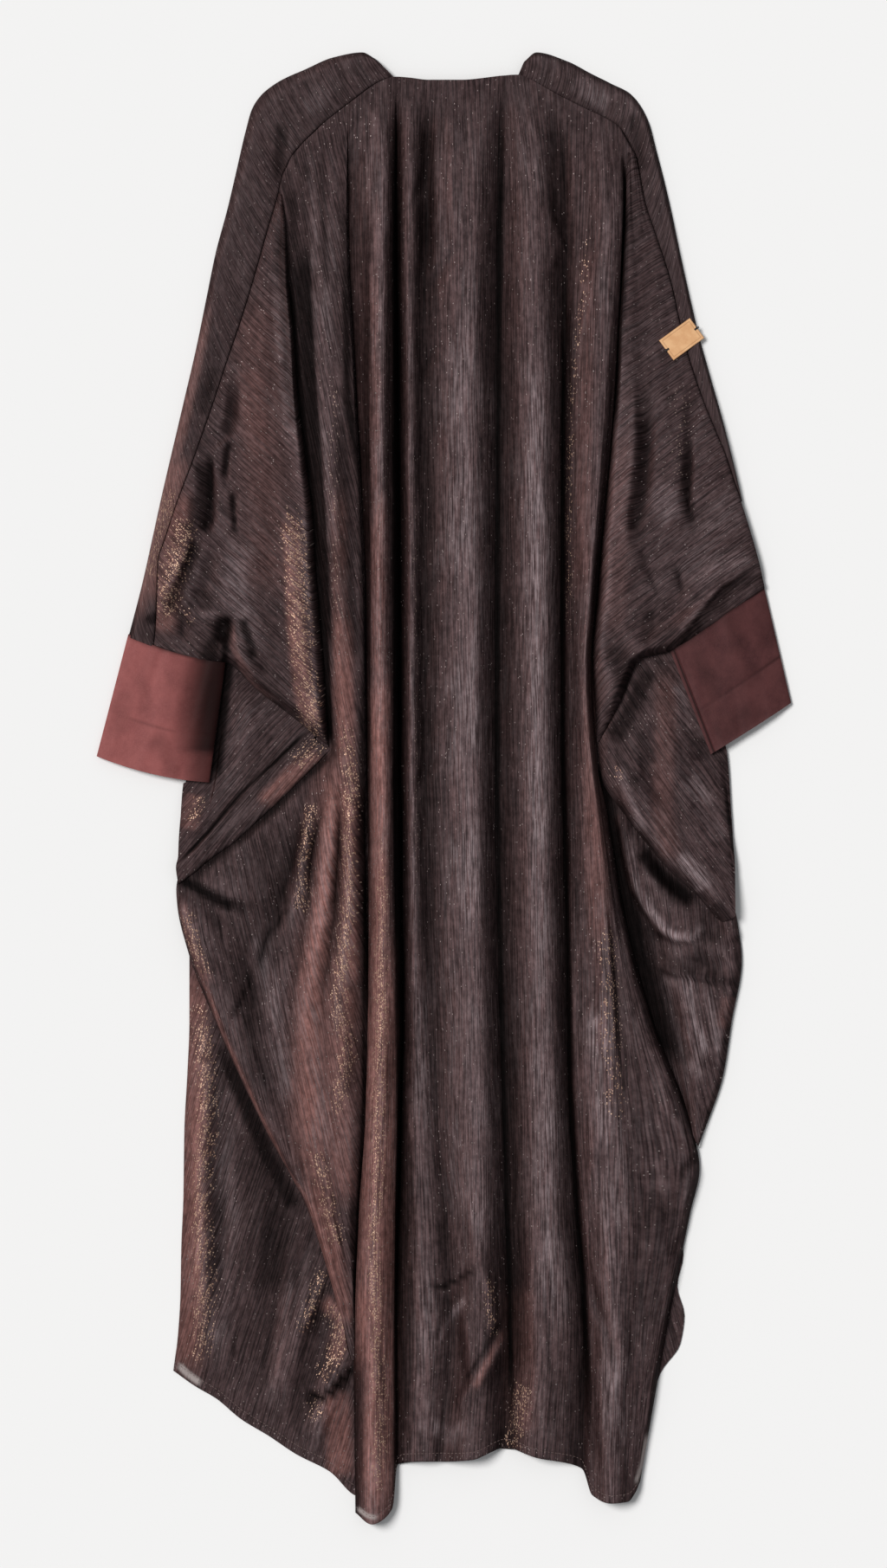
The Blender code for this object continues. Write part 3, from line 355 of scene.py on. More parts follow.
CREASES["back_drape_right"] = (
    (4.5, 12, 280, 852, 290, 886),
    (5, (4, 8), 171, 753, 175, 765, 183, 805, 190, 832, 203, 854, 216, 872, 230, 881, 246, 881, 259, 866),
    (-2.5, 10, 206, 802, 227, 831, 239, 847),
    (-2.5, 9, 248, 899, 270, 910, 283, 902),
    (2.6, (7, 2.2), 287, 930, 258, 921, 227, 915, 208, 905),
    (1.6, 5, 228, 912, 237, 946, 244, 981, 258, 1015),
    (1.6, 5, 252, 921, 263, 955, 270, 989),
    (-2, 6, 220, 921, 232, 964, 239, 1007))
CREASES["underarm_right"] = (
    (2.8, (12, 9), 209, 628, 228, 706, 247, 770, 271, 809),
    (-2.6, 6, 194, 687, 204, 727, 218, 764),
    (-1, 1.6, 233, 770, 247, 787, 276, 820, 286, 843, 292, 876),
    (1.6, 6, 172, 723, 196, 774, 230, 816))
CREASES["underarm_left"] = (
    (-1.3, (1.6, 2.2), -137, 675, -168, 706, -187, 721, -202, 737, -227, 765, -266, 810),
    (1.8, 6, -200, 637, -191, 671, -203, 714),
    (-1.8, 6, -215, 637, -212, 680, -219, 723),
    (1.6, 7, -238, 733, -245, 766, -255, 800))
CREASES["sleeve_left"] = (
    (-4.4, (12, 2.2), -233, 396, -230, 430, -230, 465, -236, 482),
    (-3.4, 7, -209, 338, -212, 366, -219, 387),
    (1.6, (4, 3), -230, 397, -221, 393, -209, 387),
    (-2.8, (5, 2), -215, 391, -215, 412, -217, 430),
    (-2.4, (4, 2), -207, 434, -208, 456, -206, 480),
    (-4.2, (3, 8), -247, 475, -250, 497, -260, 518, -269, 534, -280, 570),
    (-2.8, 8, -234, 489, -236, 521, -250, 551),
    (2.2, (6, 5), -257, 499, -265, 520, -274, 542),
    (2.4, (7, 6), -215, 556, -241, 563, -258, 561),
    (-2.4, (4, 6), -264, 554, -260, 570, -264, 587),
    (-3.2, (9, 6), -210, 565, -219, 573, -224, 587),
    (2.4, 6, -207, 570, -203, 590, -190, 615, -157, 642),
    (2, (10, 7), -157, 430, -152, 499, -145, 568, -138, 628),
    (-1.8, (6, 7), -135, 551, -129, 594, -129, 637),
    (-1.4, 7, -164, 207, -157, 293, -150, 362))
CREASES["sleeve_right"] = (
    (-4.2, (9, 7), 201, 327, 203, 385, 197, 441, 190, 470, 194, 491),
    (2, (8, 5), 187, 310, 188, 379, 180, 456, 184, 516),
    (-1.6, (3, 4), 194, 491, 199, 512, 210, 541),
    (-4, (8, 2.2), 245, 375, 245, 413, 242, 448, 251, 480),
    (-2, 7, 251, 340, 244, 362, 239, 387),
    (-2.4, (5, 2.2), 230, 504, 233, 521, 235, 541),
    (2.2, 8, 309, 494, 271, 512, 247, 534, 232, 561),
    (3.4, (15, 1.6), 316, 510, 290, 523, 274, 532, 264, 544, 252, 558, 241, 572, 230, 587),
    (-3, 10, 168, 590, 177, 613, 173, 637),
    (-1.8, 6, 211, 551, 203, 572, 196, 590),
    (-1.5, 8, 172, 542, 165, 585, 161, 628))
CREASES["shoulder_strip_left"] = (
    (-3.2, (7, 5), -160, 68, -160, 95, -166, 134),
    (-1.8, 7, -220, 276, -229, 319, -234, 356),
    (-1.2, 8, -191, 147, -200, 190, -207, 215))
CREASES["shoulder_strip_right"] = (
    (-2.4, 6, 187, 61, 192, 86, 197, 121),
    (-1.2, 6, 226, 207, 234, 250))

# Where the cloth is tinted beyond its creases, mostly with painted light and shade: amount, reach
# and line as above. The kinds are painted glints of the metal thread, painted rosy light on lit
# flanks, a painted sheen that lights the threads, painted shade and shadow, and sheer cloth that
# is thin over pale cloth.
TONES = {}
TONES["back_centre"] = dict(
    glint=(
        (0.9, 6, -61, 757, -62, 938, -65, 1072, -64, 1130, -70, 1168, -68, 1226, -64, 1322, -62, 1376,
         -68, 1444),
        (0.1, 5, -62, 207, -61, 465, -61, 723),
        (0.32, 4, 144, 174, 138, 236, 129, 309, 125, 413, 123, 602),
        (0.12, 4, -30, 379, -28, 637, -28, 852),
        (0.7, 8, 79, 1316, 73, 1359, 66, 1389),
        (0.5, 5, 44, 1216, 49, 1278),
        (0.4, 10, 161, 860, 165, 981, 172, 1067)),
    warm=(
        (0.45, 9, -65, 430, -65, 551, -65, 774),
        (0.85, 12, -64, 602, -66, 809, -65, 946),
        (0.9, 16, -62, 843, -61, 1024, -61, 1153, -62, 1325, -68, 1480),
        (0.2, 8, -73, 207, -71, 379, -74, 688),
        (0.85, 9, -73, 912, -74, 981, -76, 1050, -80, 1118, -81, 1187, -83, 1256, -85, 1325),
        (0.22, 9, 141, 190, 137, 362, 134, 551),
        (0.35, 16, 72, 1222, 75, 1376),
        (0.4, 12, 153, 551, 149, 723, 154, 895),
        (0.6, 4, 61, 1268, 46, 1296, 29, 1328)),
    silver=(
        (0.35, 3, -33, 207, -32, 637, -32, 912),
        (0.38, 9, -21, 921, -19, 1015, -18, 1153, -16, 1325),
        (0.3, 24, 22, 52, 25, 465),
        (0.72, (22, 25), 22, 207, 23, 465, 24, 809, 31, 1024, 36, 1222),
        (0.25, 16, 87, 61, 92, 465),
        (0.7, (14, 21), 91, 241, 92, 465, 96, 895, 103, 1067, 104, 1342),
        (0.75, 14, 154, 946, 153, 1024, 153, 1101),
        (0.5, 14, 156, 1093, 165, 1168, 169, 1256, 172, 1394),
        (0.6, 8, -21, 1359, 6, 1376, 28, 1359),
        (0.7, 3, 24, 1234, 6, 1259, -9, 1287)),
    dark=(
        (0.28, 8, -25, 1101, -25, 1170, -24, 1256),
        (1, (2.4, 8), -49, 25, -49, 226, -49, 379, -49, 723, -46, 971, -45, 1067, -47, 1153, -49, 1428),
        (0.6, (1.6, 11), -48, 207, -48, 723, -45, 921),
        (0.35, 7, -34, 921, -31, 981, -30, 1058),
        (1, (3, 5), 58, 2, 54, 207, 52, 723, 56, 925, 60, 1067, 65, 1239, 68, 1428),
        (0.55, (2, 21), 54, 207, 52, 723, 55, 925),
        (0.72, (2, 17), 55, 878, 60, 1024, 65, 1170, 70, 1342),
        (1, (3, 4), 121, 155, 118, 379, 118, 688, 122, 855, 125, 1032, 132, 1153, 138, 1228, 148, 1428),
        (0.55, (2, 12), 122, 190, 120, 465, 120, 723, 125, 912),
        (0.5, 13, -21, 43, -20, 207, -20, 551, -15, 971),
        (0.8, (7, 1.5), -74, 138, -74, 465, -74, 723, -75, 826),
        (0.7, (3, 2), -75, 800, -76, 860, -77, 912),
        (0.4, (5, 7), -53, 912, -54, 1067, -56, 1153, -59, 1239, -61, 1342, -64, 1411),
        (0.3, 18, 206, 1127, 206, 1196, 203, 1273),
        (0.3, (5, 2), -18, 61, -18, 164, -11, 327, -8, 723, -3, 971),
        (0.6, 9, -37, 1067, -37, 1153, -38, 1239, -40, 1394),
        (0.7, (3, 2), 58, 1259, 41, 1287, 20, 1321),
        (0.7, 2.5, 34, 1206, 15, 1219, 0, 1227, -18, 1229),
        (0.6, 3, 18, 1229, 1, 1254, -14, 1282)),
    sheer=(
        (0.8, 2.5, -86, 1447, -76, 1453, -66, 1455),
        (0.7, 2.2, 202, 1373, 197, 1402, 190, 1423)))
TONES["back_drape_left"] = dict(
    dark=(
        (0.5, (5, 7), -92, 912, -92, 981, -96, 1041),
        (0.45, 3, -122, 108, -119, 172, -116, 233),
        (0.6, (4, 5), -154, 134, -147, 198, -141, 241),
        (0.6, 8, -104, 362, -100, 439, -98, 499, -92, 568, -87, 611),
        (0.45, 3, -100, 233, -95, 293, -90, 353, -86, 413),
        (0.92, (20, 2.5), -136, 181, -134, 233, -130, 310, -125, 379, -119, 465, -115, 551, -112, 611),
        (0.4, 10, -197, 929, -191, 981, -183, 1032),
        (0.9, 5, -97, 125, -96, 344, -81, 430, -77, 602, -80, 694, -77, 809),
        (0.95, (2.5, 4), -78, 792, -78, 895, -79, 1014, -85, 1149, -91, 1299),
        (1, (9, 3), -154, 183, -147, 282, -136, 388, -126, 468, -117, 584, -113, 670, -111, 695),
        (0.7, 10, -144, 233, -135, 362, -128, 465, -119, 585),
        (1, (6, 8), -272, 817, -255, 826, -234, 838, -215, 848, -197, 852),
        (0.85, 6, -264, 828, -226, 800, -197, 776, -172, 754, -147, 728, -126, 709, -109, 692),
        (0.9, (4, 3), -155, 848, -175, 881, -191, 921, -212, 964)),
    silver=(
        (0.4, 8, -126, 929, -125, 1015, -122, 1093),
        (0.45, 4, -134, 100, -129, 155, -128, 224),
        (0.35, 5, -111, 92, -109, 155, -109, 224),
        (0.5, 9, -122, 224, -119, 310, -117, 379, -115, 439, -111, 499),
        (0.5, 9, -184, 869, -176, 921, -164, 981, -154, 1050)),
    warm=(
        (0.6, 24, -105, 878, -107, 981, -109, 1067, -102, 1153),
        (1, 17, -104, 688, -109, 773, -116, 832, -124, 891, -131, 950, -134, 1024, -131, 1136),
        (0.8, 2.4, -252, 889, -232, 940, -221, 972, -207, 1003, -191, 1038, -171, 1080, -153, 1116,
         -138, 1135, -128, 1162, -117, 1199, -105, 1234, -90, 1280),
        (0.4, 8, -104, 430, -103, 551, -98, 688),
        (0.85, 10, -102, 542, -100, 620, -96, 723, -93, 895, -100, 1067),
        (0.8, 14, -135, 1067, -117, 1179, -100, 1273),
        (0.5, 6, -262, 843, -250, 886, -234, 929)),
    glint=(
        (1, 7, -98, 654, -91, 733, -94, 792, -92, 832, -98, 891, -104, 950, -95, 986, -99, 1024,
         -109, 1061),
        (0.8, 6, -130, 744, -138, 792, -141, 860),
        (0.8, 7, -128, 1087, -114, 1149, -104, 1187),
        (0.15, 6, -109, 310, -109, 465, -104, 602),
        (0.7, 6, -257, 852, -248, 886, -234, 921)))
TONES["front_left"] = dict(
    dark=(
        (0.45, 7, -149, 1157, -149, 1196, -153, 1230),
        (0.9, (8, 12), -224, 981, -200, 1041, -179, 1093, -160, 1131, -147, 1157),
        (0.6, (28, 21), -179, 1058, -169, 1118, -164, 1179, -167, 1239),
        (1, 5, -85, 1301, -102, 1323, -119, 1336, -140, 1339)),
    glint=(
        (0.85, 9, -245, 938, -237, 994, -235, 1069, -240, 1130, -240, 1186, -236, 1222, -239, 1276,
         -244, 1311),
        (0.8, 6, -119, 1207, -133, 1250, -143, 1273),
        (0.8, 9, -117, 1245, -100, 1261, -111, 1304, -123, 1320),
        (0.5, 8, -131, 1333, -126, 1359)),
    warm=(
        (0.85, (14, 15), -250, 895, -248, 1015, -250, 1136, -252, 1239, -255, 1325),
        (0.9, 13, -107, 1330, -105, 1368, -103, 1419),
        (0.9, 8, -121, 1239, -100, 1261, -109, 1304)),
    silver=(
        (0.4, 11, -224, 1024, -219, 1067, -215, 1153, -219, 1230, -226, 1308),
        (0.5, 6, -154, 1213, -162, 1273, -172, 1346)),
    sheer=(
        (1, 3.4, -264, 1305, -255, 1314, -241, 1324),))
TONES["back_drape_right"] = dict(
    silver=(
        (0.5, 7, 220, 914, 227, 946, 242, 993, 254, 1024),
        (0.8, 6, 240, 914, 247, 955, 261, 1000),
        (0.6, 5, 259, 926, 270, 964, 271, 998),
        (0.9, (3, 7), 173, 762, 183, 805, 190, 832, 203, 854, 216, 872, 230, 881, 246, 881, 258, 867),
        (0.3, 10, 278, 886, 287, 912)),
    warm=(
        (0.3, 10, 286, 938, 278, 972),),
    dark=(
        (1, 9, 194, 790, 210, 813, 230, 831, 250, 848),
        (0.7, 6, 248, 898, 252, 905),
        (0.6, (3, 6), 292, 922, 270, 922, 247, 915, 210, 903),
        (1, (9, 12), 151, 663, 159, 727, 164, 766, 171, 819),
        (1, (9, 16), 163, 756, 170, 809, 175, 835, 184, 871),
        (1, (9, 19), 172, 819, 182, 860, 190, 895, 200, 929, 210, 964, 228, 1024),
        (0.5, 12, 213, 905, 239, 910, 264, 895)))
TONES["underarm_right"] = dict(
    warm=(
        (0.3, 11, 220, 607, 220, 680, 216, 757, 227, 809),),
    silver=(
        (0.5, 8, 232, 628, 239, 680),
        (0.5, 13, 242, 719, 258, 749, 276, 787),
        (0.6, 6, 172, 707, 184, 744, 197, 776),
        (0.8, 8, 233, 796, 252, 817, 258, 835)),
    glint=(
        (0.25, 10, 175, 707, 172, 723),),
    dark=(
        (0.5, (7, 4), 195, 674, 202, 690, 210, 709),
        (0.35, 6, 185, 719, 194, 733),
        (0.75, 9, 204, 611, 194, 637, 180, 664, 166, 685),
        (0.5, 8, 280, 694, 287, 749, 289, 800),
        (0.6, 9, 268, 843, 280, 862, 287, 886),
        (0.45, 9, 254, 680, 252, 706)))
TONES["underarm_left"] = dict(
    dark=(
        (1, (6, 7), -212, 594, -218, 637, -223, 680, -228, 727),
        (1, 2, -131, 670, -168, 706, -202, 737, -231, 772, -269, 812),
        (0.3, 5, -140, 680, -183, 723, -226, 768)),
    silver=(
        (0.2, 12, -183, 637, -200, 688, -215, 740),),
    glint=(
        (0.9, 8, -119, 682, -138, 700, -148, 709),
        (0.6, 7, -241, 738, -250, 766)),
    warm=(
        (0.8, 9, -123, 695, -148, 716, -183, 749),
        (0.5, 10, -248, 736, -255, 774)))
TONES["sleeve_left"] = dict(
    dark=(
        (0.6, (10, 6), -159, 164, -155, 233, -150, 310, -144, 387),
        (0.85, (8, 2.5), -230, 399, -231, 430, -233, 465, -241, 479),
        (0.6, 8, -246, 439, -248, 465, -252, 479),
        (0.8, (5, 2), -212, 386, -215, 405, -217, 424),
        (0.8, (4, 1.6), -210, 437, -208, 456, -206, 480),
        (0.55, 7, -209, 327, -210, 357, -215, 384),
        (0.8, (2, 5), -248, 480, -257, 508, -265, 530, -276, 561),
        (0.5, 12, -238, 534, -241, 555),
        (1, (3, 6), -216, 558, -215, 575, -218, 590, -219, 613),
        (0.85, 9, -215, 561, -224, 584, -238, 609),
        (0.9, 5, -201, 563, -195, 580, -188, 604),
        (0.7, 7, -241, 405, -240, 443, -243, 470),
        (0.6, 6, -246, 486, -258, 525, -272, 564)),
    warm=(
        (0.35, 4, -212, 561, -209, 590, -200, 611, -186, 632, -167, 647),
        (0.28, 24, -183, 233, -183, 319, -179, 405, -176, 482, -172, 551),
        (0.9, 9, -154, 456, -150, 508, -147, 568, -140, 637, -126, 678),
        (0.4, 16, -191, 310, -183, 413),
        (0.7, 14, -262, 430, -269, 499, -276, 542, -281, 581)),
    glint=(
        (1, 10, -152, 448, -147, 499, -143, 551, -140, 602, -131, 663, -121, 684),
        (1, 10, -255, 461, -262, 499, -270, 527, -277, 565),
        (0.7, 7, -284, 465, -288, 508, -289, 559),
        (0.6, 7, -258, 561, -246, 561)),
    silver=(
        (0.5, 14, -200, 482, -209, 534, -183, 602),
        (0.5, 8, -167, 207, -157, 310, -150, 396)))
TONES["sleeve_right"] = dict(
    dark=(
        (0.95, 5, 180, 138, 176, 233, 171, 310, 167, 379),
        (0.55, (2, 8), 326, 515, 290, 528, 276, 535, 266, 547, 254, 561, 243, 576, 230, 594),
        (0.55, 11, 165, 587, 180, 615, 175, 644),
        (0.6, (1.5, 4), 230, 515, 234, 530, 235, 541),
        (0.5, (1.5, 4), 199, 512, 206, 530, 210, 542),
        (0.25, 5, 201, 353, 197, 430, 192, 473),
        (0.5, 5, 242, 379, 240, 430, 247, 470)),
    silver=(
        (0.5, 5, 153, 602, 156, 637, 158, 671),
        (0.35, 22, 290, 430, 247, 499, 196, 551),
        (0.5, 9, 304, 499, 271, 515, 247, 535),
        (0.4, 16, 213, 430, 230, 465)),
    warm=(
        (0.15, 14, 175, 379, 172, 482, 166, 585),),
    glint=(
        (0.13, 14, 239, 327, 230, 430),))
TONES["shoulder_strip_left"] = dict(
    warm=(
        (0.8, 8, -234, 241, -250, 319, -265, 387, -279, 456, -295, 516, -305, 568),
        (1, 14, -264, 396, -281, 473, -296, 551)),
    dark=(
        (0.5, 7, -226, 310, -234, 336, -241, 362),
        (0.8, (6, 4), -283, 558, -289, 566, -296, 561),
        (0.5, 7, -160, 69, -164, 129)),
    glint=(
        (0.5, 8, -269, 430, -283, 482, -293, 525),),
    silver=(
        (0.5, 10, -105, 26, -138, 59),))
TONES["shoulder_strip_right"] = dict(
    silver=(
        (0.6, 10, 127, 28, 166, 54),),
    dark=(
        (0.4, 7, 189, 61, 197, 121),))
# Painted shade on the cuffs: the left cuff's shaded right part, its wrinkles and corners, and faint shaded
# wrinkles on the right cuff.
TONES["cuff_left"] = dict(
    dark=(
        (1, (37, 12), -210, 570, -224, 628, -227, 680, -228, 706),
        (0.8, (27, 9), -226, 654, -230, 697, -233, 744),
        (1, 18, -245, 592, -231, 602, -203, 611),
        (0.2, (10, 6), -264, 611, -269, 637, -267, 680),
        (0.14, (12, 8), -310, 633, -318, 656, -322, 680),
        (0.12, (9, 5), -288, 596, -295, 628, -298, 663),
        (0.3, 11, -288, 676, -272, 697, -262, 727)))
TONES["cuff_right"] = dict(
    dark=(
        (0.22, 8, 249, 592, 261, 616, 271, 647),
        (0.2, 12, 319, 542, 328, 594),
        (0.25, 9, 275, 551, 287, 570, 297, 601),
        (0.2, 12, 266, 682, 290, 670, 319, 650),
        (0.18, 8, 311, 606, 299, 633)))


def at_level(value, level):
    return value[level] if isinstance(value, tuple) else value


def both_sides(reach):
    return reach if isinstance(reach, tuple) else (reach, reach)


def mix(a, b, share):
    return a + (b - a) * share


def between(p, q, share):
    return mix(p[0], q[0], share), mix(p[1], q[1], share)


def shifted(point, towards, distance):
    """A point moved a short way towards another."""
    return between(point, towards, distance / math.dist(point, towards))


def smoothstep(t):
    t = np.clip(t, 0.0, 1.0)
    return t * t * (3 - 2 * t)


def bell(off, width):
    return np.exp(-(off / width) ** 2)


def rounded(away, radius):
    """A quarter round, from 0 at an edge to 1 a radius away."""
    return np.sqrt(np.clip(1 - (1 - away / radius).clip(0) ** 2, 0, 1))


def ease(share):
    """Rise from a fold's groove, where it is tight, to its ridge, where it is round."""
    return 0.45 * share * share * (3 - 2 * share) + 0.55 * np.sin(0.5 * np.pi * share)


def to_world(x, drop, height):
    return np.stack([x * MM, (LENGTH / 2 - drop) * MM, height * MM], -1)


def box_blur(values, half):
    """Running mean along each row."""
    padded = np.pad(values, ((0, 0), (half + 1, half)), mode="edge")
    total = np.cumsum(padded, axis=1)
    return (total[:, 2 * half + 1:] - total[:, :-2 * half - 1]) / (2 * half + 1)


def running_length(x, drop, axis):
    """Distance along each row (axis 1) or column (axis 0) of the grid from its first point."""
    length = np.hypot(np.diff(x, axis=axis), np.diff(drop, axis=axis))
    shape = list(x.shape)
    shape[axis] = 1
    return np.concatenate([np.zeros(shape), np.cumsum(length, axis=axis)], axis=axis)


def smooth_rows(knots, values, at):
    """Curves through columns of values that never swing past them, read at other places."""
    step = np.diff(knots)[:, None]
    slope = np.diff(values, axis=0) / step
    before = 2 * step[1:] + step[:-1]
    after = step[1:] + 2 * step[:-1]
    same_way = slope[1:] * slope[:-1] > 1e-12
    first = np.where(same_way, slope[:-1], 1.0)
    second = np.where(same_way, slope[1:], 1.0)
    inner = np.where(same_way, (before + after) / (before / first + after / second), 0.0)
    tangent = np.concatenate([slope[:1], inner, slope[-1:]])
    k = np.clip(np.searchsorted(knots, at, side="right") - 1, 0, len(knots) - 2)
    width = step[k]
    t = (np.asarray(at)[:, None] - knots[k][:, None]) / width
    start = (1 + 2 * t) * (1 - t) ** 2 * values[k] + t * (1 - t) ** 2 * width * tangent[k]
    end = t * t * (3 - 2 * t) * values[k + 1] + t * t * (t - 1) * width * tangent[k + 1]
    return start + end


def fine_grid(lines, tops, unders, across, along, hem):
    """Places and heights of a shell on a close grid: x, drop, top and under, rows by columns."""
    lines = list(lines)
    levels = list(range(len(lines)))
    if hem:
        margin = []
        for p, q in zip(lines[-2], lines[-1]):
            margin.append(between(p, q, 1 - HEM_ZONE / max(math.dist(p, q), 1.5 * HEM_ZONE)))
        lines.insert(-1, margin)
        levels.insert(-1, levels[-1])
    places = np.array(lines, float)
    crest = np.array([[at_level(top, i) for top in tops] for i in levels], float)
    floor = np.array([[at_level(under, i) for under in unders] for i in levels], float)
    gaps = np.linalg.norm(np.diff(places, axis=0), axis=2).mean(1)
    knots = np.concatenate([[0.0], np.cumsum(gaps)])
    at = []
    for i, gap in enumerate(gaps):
        step = HEM_STEP if hem and i == len(gaps) - 1 else along
        count = max(1, math.ceil(gap / step))
        at += list(np.linspace(knots[i], knots[i + 1], count, endpoint=False))
    at = np.array(at + [knots[-1]])
    folds = places.shape[1]
    places = smooth_rows(knots, places.reshape(len(knots), -1), at).reshape(len(at), folds, 2)
    crest = smooth_rows(knots, crest, at)
    floor = smooth_rows(knots, floor, at)
    widths = np.linalg.norm(np.diff(places, axis=1), axis=2).mean(0)
    fold_at = np.concatenate([[0.0], np.cumsum(widths)])
    column_at = []
    heights = []
    floors = []
    for k in range(folds - 1):
        steps = max(3, math.ceil(widths[k] / across))
        share = np.arange(steps + (k == folds - 2)) / steps
        rising = (crest[:, k + 1] > crest[:, k])[:, None]
        lift = np.where(rising, ease(share)[None], 1 - ease(1 - share)[None])
        column_at += list(fold_at[k] + widths[k] * share)
        heights.append(mix(crest[:, k, None], crest[:, k + 1, None], lift))
        floors.append(mix(floor[:, k, None], floor[:, k + 1, None], share[None]))
    by_fold = places.transpose(1, 0, 2).reshape(folds, -1)
    spot = smooth_rows(fold_at, by_fold, np.array(column_at)).reshape(len(column_at), len(at), 2)
    return [spot[:, :, 0].T, spot[:, :, 1].T, np.concatenate(heights, 1), np.concatenate(floors, 1)]


def nearness(x, drop, line, reach, fade, power=2):
    """1 on a line, falling to nothing past its reach to each side, and towards its ends."""
    left, right = both_sides(reach)
    spots = list(zip(line[::2], line[1::2]))
    runs = len(spots) - 1
    best = np.zeros_like(x)
    for run, ((x0, drop0), (x1, drop1)) in enumerate(zip(spots, spots[1:])):
        dx = x1 - x0
        dd = drop1 - drop0
        t = np.clip(((x - x0) * dx + (drop - drop0) * dd) / (dx * dx + dd * dd), 0, 1)
        off_x = x - (x0 + dx * t)
        off_d = drop - (drop0 + dd * t)
        width = np.where(dx * off_d - dd * off_x < 0, right, left)
        along = (run + t) / runs
        ends = np.minimum(smoothstep(fade * along + 0.15), smoothstep(fade * (1 - along) + 0.15))
        best = np.maximum(best, ends * np.exp(-(np.hypot(off_x, off_d) / width) ** power))
    return best


def wander(x, drop, across, down, seed):
    """Smooth unevenness from -1 to 1 in patches of the given size."""
    rng = np.random.default_rng(seed)
    u = (x - x.min()) / across
    v = (drop - drop.min()) / down
    lattice = rng.uniform(-1, 1, (int(v.max()) + 3, int(u.max()) + 3))
    i = v.astype(int)
    j = u.astype(int)
    t = smoothstep(u - j)
    upper = mix(lattice[i, j], lattice[i, j + 1], t)
    lower = mix(lattice[i + 1, j], lattice[i + 1, j + 1], t)
    return mix(upper, lower, smoothstep(v - i))


def unevenness(x, drop, waves, seed):
    return sum(wave.height * wander(x, drop, wave.across, wave.down, seed + wave.seed_step) for wave in waves)


def normals(x, drop, top):
    """Unit normals of a grid's upper face, all turned upward."""
    du, dv = [np.stack([np.gradient(part, axis=axis) for part in (x, -drop, top)], -1) for axis in (1, 0)]
    normal = np.cross(du, dv)
    normal *= np.sign(normal[:, :, 2:] + 1e-12)
    return normal / np.maximum(np.linalg.norm(normal, axis=2, keepdims=True), 1e-9)


def slopes(x, drop, top):
    """How far each place faces the window, from -1 to 1, and how steep it is, from 0 to 1."""
    normal = normals(x, drop, top)
    lean = normal[:, :, :2] @ np.array(WINDOW[:2]) / math.hypot(*WINDOW[:2])
    return [box_blur(box_blur(part, 1).T, 1).T for part in (lean, 1 - normal[:, :, 2])]


def lower_face(x, drop, top, under):
    upright = np.maximum(normals(x, drop, top)[:, :, 2], 0.45)
    return np.maximum(top - CLOTH_THICKNESS / upright, under)


def finish_edges(top, under, x, drop, edges):
    """Rolls a folded edge down to what it lies on, draws in a sewn one and thickens a hem.

    A folded edge is given by its radius, or by that and the drop from which it is round.
    """
    across = running_length(x, drop, 1)
    along = running_length(x, drop, 0)
    distance = {"first": across, "last": across[:, -1:] - across, "top": along, "foot": along[-1:] - along}
    base = under + CLOTH_THICKNESS
    hem = np.zeros_like(top)
    for side, kind in edges._asdict().items():
        away = distance[side]
        if kind == "sewn":
            top = top - 1.5 * np.clip(1 - away / 2.6, 0, 1) ** 2
        elif kind == "hem":
            bulk = rounded(away, 2.5)
            top = base + (top - base) * mix(0.35, 1.0, bulk)
            top = top + 0.55 * smoothstep((HEM - away) / 1.2) * bulk - 0.6 * bell(away - HEM, 1.3)
            hem = smoothstep((HEM + 0.8 - away) / 1.5)
        elif kind is not None:
            radius, start = kind if isinstance(kind, tuple) else (kind, -math.inf)
            top = base + (top - base) * mix(1.0, rounded(away, radius), smoothstep((drop - start) / 30))
    return np.maximum(top, base), hem


def grain_map(node, x, drop, top):
    """Places across and along the threads, in millimetres."""
    turn = GRAIN[node]
    if turn == "with the folds":
        width = np.hypot(np.hypot(np.diff(x, axis=1), np.diff(drop, axis=1)), np.diff(top, axis=1))
        return np.concatenate([[0], np.cumsum(width.mean(0))])[None] + np.zeros_like(x), drop
    if turn == "across":
        return running_length(x, drop, 0), running_length(x, drop, 1)
    turn = math.radians(turn)
    return (x * math.sin(turn) - drop * math.cos(turn) + 0.5 * top,
            x * math.cos(turn) + drop * math.sin(turn))


def new_piece(name, points, faces, material, sharp=None, grain=None, facts=None):
    """A mesh on the root body, with its grain map and the values that its material reads."""
    mesh = bpy.data.meshes.new(name)
    mesh.from_pydata(points, [], faces)
    if grain is not None:
        corner = np.zeros(len(mesh.loops), np.int32)
        mesh.loops.foreach_get("vertex_index", corner)
        uv = (np.stack(grain, 1) * MM)[corner].ravel().astype(np.float32)
        mesh.uv_layers.new(name="grain").data.foreach_set("uv", uv)
    for key, values in (facts or {}).items():
        held = mesh.attributes.new(key, "FLOAT", "POINT")
        held.data.foreach_set("value", values.astype(np.float32))
    mesh.materials.append(material)
    mesh.shade_smooth()
    if sharp:
        mesh.set_sharp_from_angle(angle=math.radians(sharp))
    item = bpy.data.objects.new(name, mesh)
    bpy.context.scene.collection.objects.link(item)
    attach(item, "root")
    return item


def stand_for(node):
    """Hides a node's CAD part, whose place the laid cloth takes."""
    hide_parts(node)


def grid_quads(rows, columns):
    a = (np.arange(rows - 1)[:, None] * columns + np.arange(columns - 1)[None]).ravel()
    return np.stack([a, a + columns, a + columns + 1, a + 1], 1)


